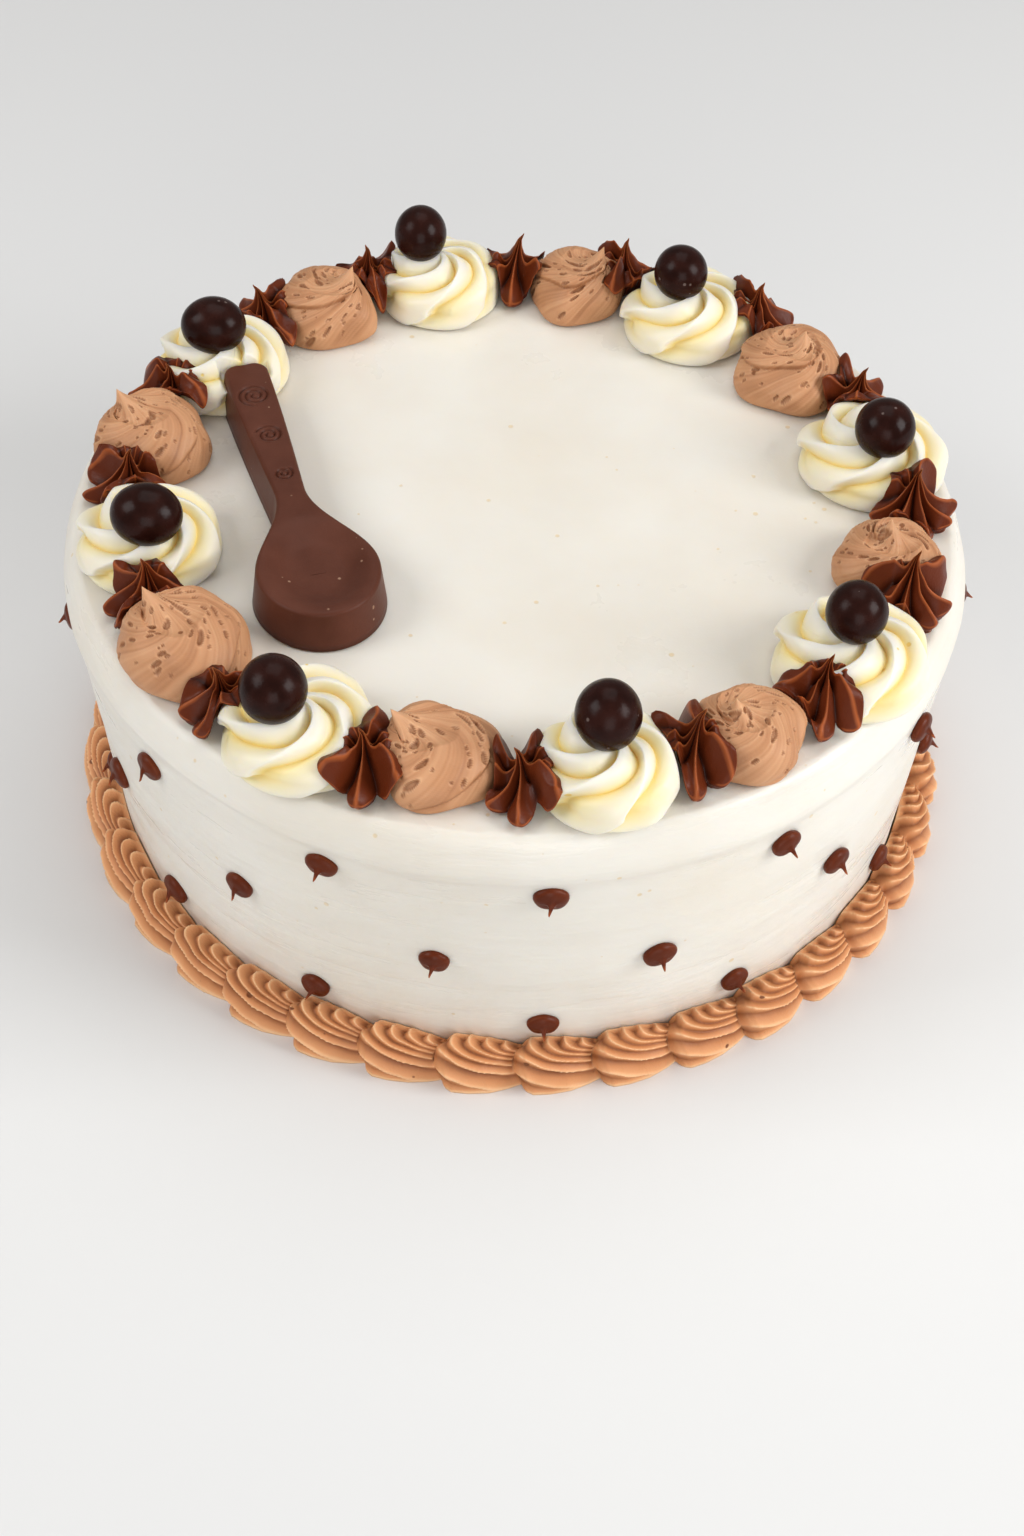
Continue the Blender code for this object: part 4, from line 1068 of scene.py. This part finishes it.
def spoon_outline():
    """Points round the spoon, close together along the handle, where the spirals are."""
    stops = [SPOON_WIDEST * (1.0 - math.cos(0.5 * math.pi * step / 40)) for step in range(40)]
    stops += list(np.arange(SPOON_WIDEST, SPOON_NECK, 0.45 * MM))
    stops += list(np.arange(SPOON_NECK, SPOON_LENGTH - SPOON_END_ROUND, 0.15 * MM))
    stops += [SPOON_LENGTH - SPOON_END_ROUND * (1.0 - math.sin(turn))
              for turn in np.linspace(0.0, 0.5 * math.pi, 13)]
    side = [(stop, spoon_half_width(stop)) for stop in stops]
    side += [(SPOON_LENGTH, side[-1][1] * share) for share in (0.75, 0.5, 0.25, 0.0)]
    other_side = [(along, half) for along, half in side[-2:0:-1]]
    return np.array([(along, -half) for along, half in side] + other_side)


def moulded_spoon():
    """A grid wrapped round the spoon: each column runs from the middle of the top out over the edge, down
    the side and back to the middle of the foot."""
    loop = spoon_outline()
    tangent = np.roll(loop, -1, axis=0) - np.roll(loop, 1, axis=0)
    normal = np.stack((tangent[:, 1], -tangent[:, 0]), axis=1)
    normal /= np.linalg.norm(normal, axis=1)[:, None]
    # On the bowl each column starts where its outward normal, run back inwards, meets the middle line
    inward = np.abs(loop[:, 1]) / np.maximum(np.abs(normal[:, 1]), 0.05)
    on_bowl = np.clip(loop[:, 0] - normal[:, 0] * inward, SPOON_WIDEST * 0.95, SPOON_NECK)
    on_handle = np.minimum(loop[:, 0], SPOON_LENGTH - SPOON_END_ROUND)
    foot = np.where(loop[:, 0] > SPOON_NECK, on_handle, on_bowl)
    middle = np.stack((foot, np.zeros(len(foot))), axis=1)
    mesh = flat_grid("moulded_spoon", len(loop), SPOON_ROWS[-1])
    points = points_of(mesh)
    column = np.rint(0.5 * (points[:, 0] + 1.0) * len(loop)).astype(int) % len(loop)
    row = np.rint(0.5 * (points[:, 1] + 1.0) * SPOON_ROWS[-1])
    stops = (0,) + SPOON_ROWS
    runs = [np.clip((row - first) / (last - first), 0.0, 1.0) for first, last in zip(stops, stops[1:])]
    on_top, round_edge, down_side, back = runs
    round_edge = round_edge * 0.5 * math.pi
    reach = np.linalg.norm(loop - middle, axis=1)[column]
    brink = reach - SPOON_DRAFT - SPOON_EDGE
    from_middle = brink * on_top + SPOON_EDGE * np.sin(round_edge) + SPOON_DRAFT * down_side
    from_middle = np.where(row > SPOON_ROWS[2], reach * (1.0 - back), np.minimum(from_middle, reach))
    direction = (loop - middle)[column] / np.maximum(reach, 1e-9)[:, None]
    flat = middle[column] + direction * np.maximum(from_middle, 0.0)[:, None]
    along, away = flat[:, 0], flat[:, 1]
    level = SPOON_THICKNESS - SPOON_EDGE * (1.0 - np.cos(round_edge))
    level -= (SPOON_THICKNESS - SPOON_EDGE) * down_side
    length = (along - BOWL_HOLLOW_MIDDLE) / np.where(along > BOWL_HOLLOW_MIDDLE, 18.0 * MM, 15.5 * MM)
    dish = BOWL_HOLLOW_DEPTH * smooth_step(1.0, 0.45, np.hypot(length, away / (12.8 * MM)))
    level -= np.where(row <= SPOON_ROWS[0], dish + pressed_spirals(along, away), 0.0)
    put_points(mesh, np.stack((along, away, level), axis=1))
    return sealed(mesh, 0.004 * MM, fill=False)


def spoon_finish():
    material, tree, shader = new_finish(
        "milk_chocolate", Roughness=0.4, Subsurface_Weight=0.05, Subsurface_Radius=(1.0, 0.5, 0.3),
        Subsurface_Scale=0.002, Specular_IOR_Level=0.13)
    place = object_place(tree)
    cloud = noise(tree, place, 90.0, 5.0)
    bubble = air_bubbles(tree, place, 620.0, 0.03, 0.3, 0.25)
    tree.links.new(bubble["Normal"], shader.inputs["Normal"])
    ground = colour_ramp(tree, cloud, ((0.3, (0.082, 0.0245, 0.0135)), (0.7, (0.112, 0.0355, 0.0205))))
    paint(tree, shader, ground, bubble["Mask"], (0.30, 0.17, 0.11))
    vary_shine(tree, shader, cloud, (0.3, 0.7), (0.36, 0.48))
    return material


spoon_mesh = moulded_spoon()
spoon_place = Matrix.Translation(SPOON_BOWL_END + Vector((0.0, 0.0, CAKE_HEIGHT + 0.3 * MM)))
spoon_mesh.transform(spoon_place @ Matrix.Rotation(SPOON_DIRECTION, 4, "Z"))
show("moulded_spoon", spoon_mesh, spoon_finish(), "milk_chocolate", "chocolate_spoon")


# The setting: a plain pale floor and soft studio light, with a large lamp at each side and one above.
FLOOR_SIZE = 6.0
floor_mesh = flat_grid("floor", 1, 1, FLOOR_SIZE)
floor_paint, floor_tree, floor_shader = new_finish("pale_floor", Roughness=0.8)
floor_cloud = noise(floor_tree, object_place(floor_tree), 3.0, 2.0)
floor_tone = colour_ramp(floor_tree, floor_cloud, ((0.3, (0.69, 0.69, 0.69)), (0.7, (0.71, 0.71, 0.705))))
floor_tree.links.new(floor_tone, floor_shader.inputs["Base Color"])
floor_mesh.materials.append(floor_paint)
floor = bpy.data.objects.new("floor", floor_mesh)
bpy.context.scene.collection.objects.link(floor)
floor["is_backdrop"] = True

bpy.context.scene.view_settings.view_transform = "Standard"
world = bpy.data.worlds.new("studio")
world.use_nodes = True
world.node_tree.nodes["Background"].inputs["Color"].default_value = (1.0, 0.985, 0.965, 1.0)
world.node_tree.nodes["Background"].inputs["Strength"].default_value = 0.36
bpy.context.scene.world = world

# Each lamp: place, width, power in watts
LAMPS = (
    ("left_lamp", (-0.80, -0.20, 0.75), 0.50, 4.4),
    ("right_lamp", (0.85, -0.25, 0.58), 0.50, 7.2),
    ("top_lamp", (0.05, 0.35, 1.10), 0.80, 3.1),
    ("front_lamp", (0.10, -1.30, 0.45), 0.80, 5.4),
)
for name, place, width, power in LAMPS:
    lamp = bpy.data.lights.new(name, "AREA")
    lamp.size = width
    lamp.energy = power
    holder = bpy.data.objects.new(name, lamp)
    holder.location = place
    holder.rotation_euler = (Vector((0.0, 0.0, 0.05)) - Vector(place)).to_track_quat("-Z", "Y").to_euler()
    bpy.context.scene.collection.objects.link(holder)

low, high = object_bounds()
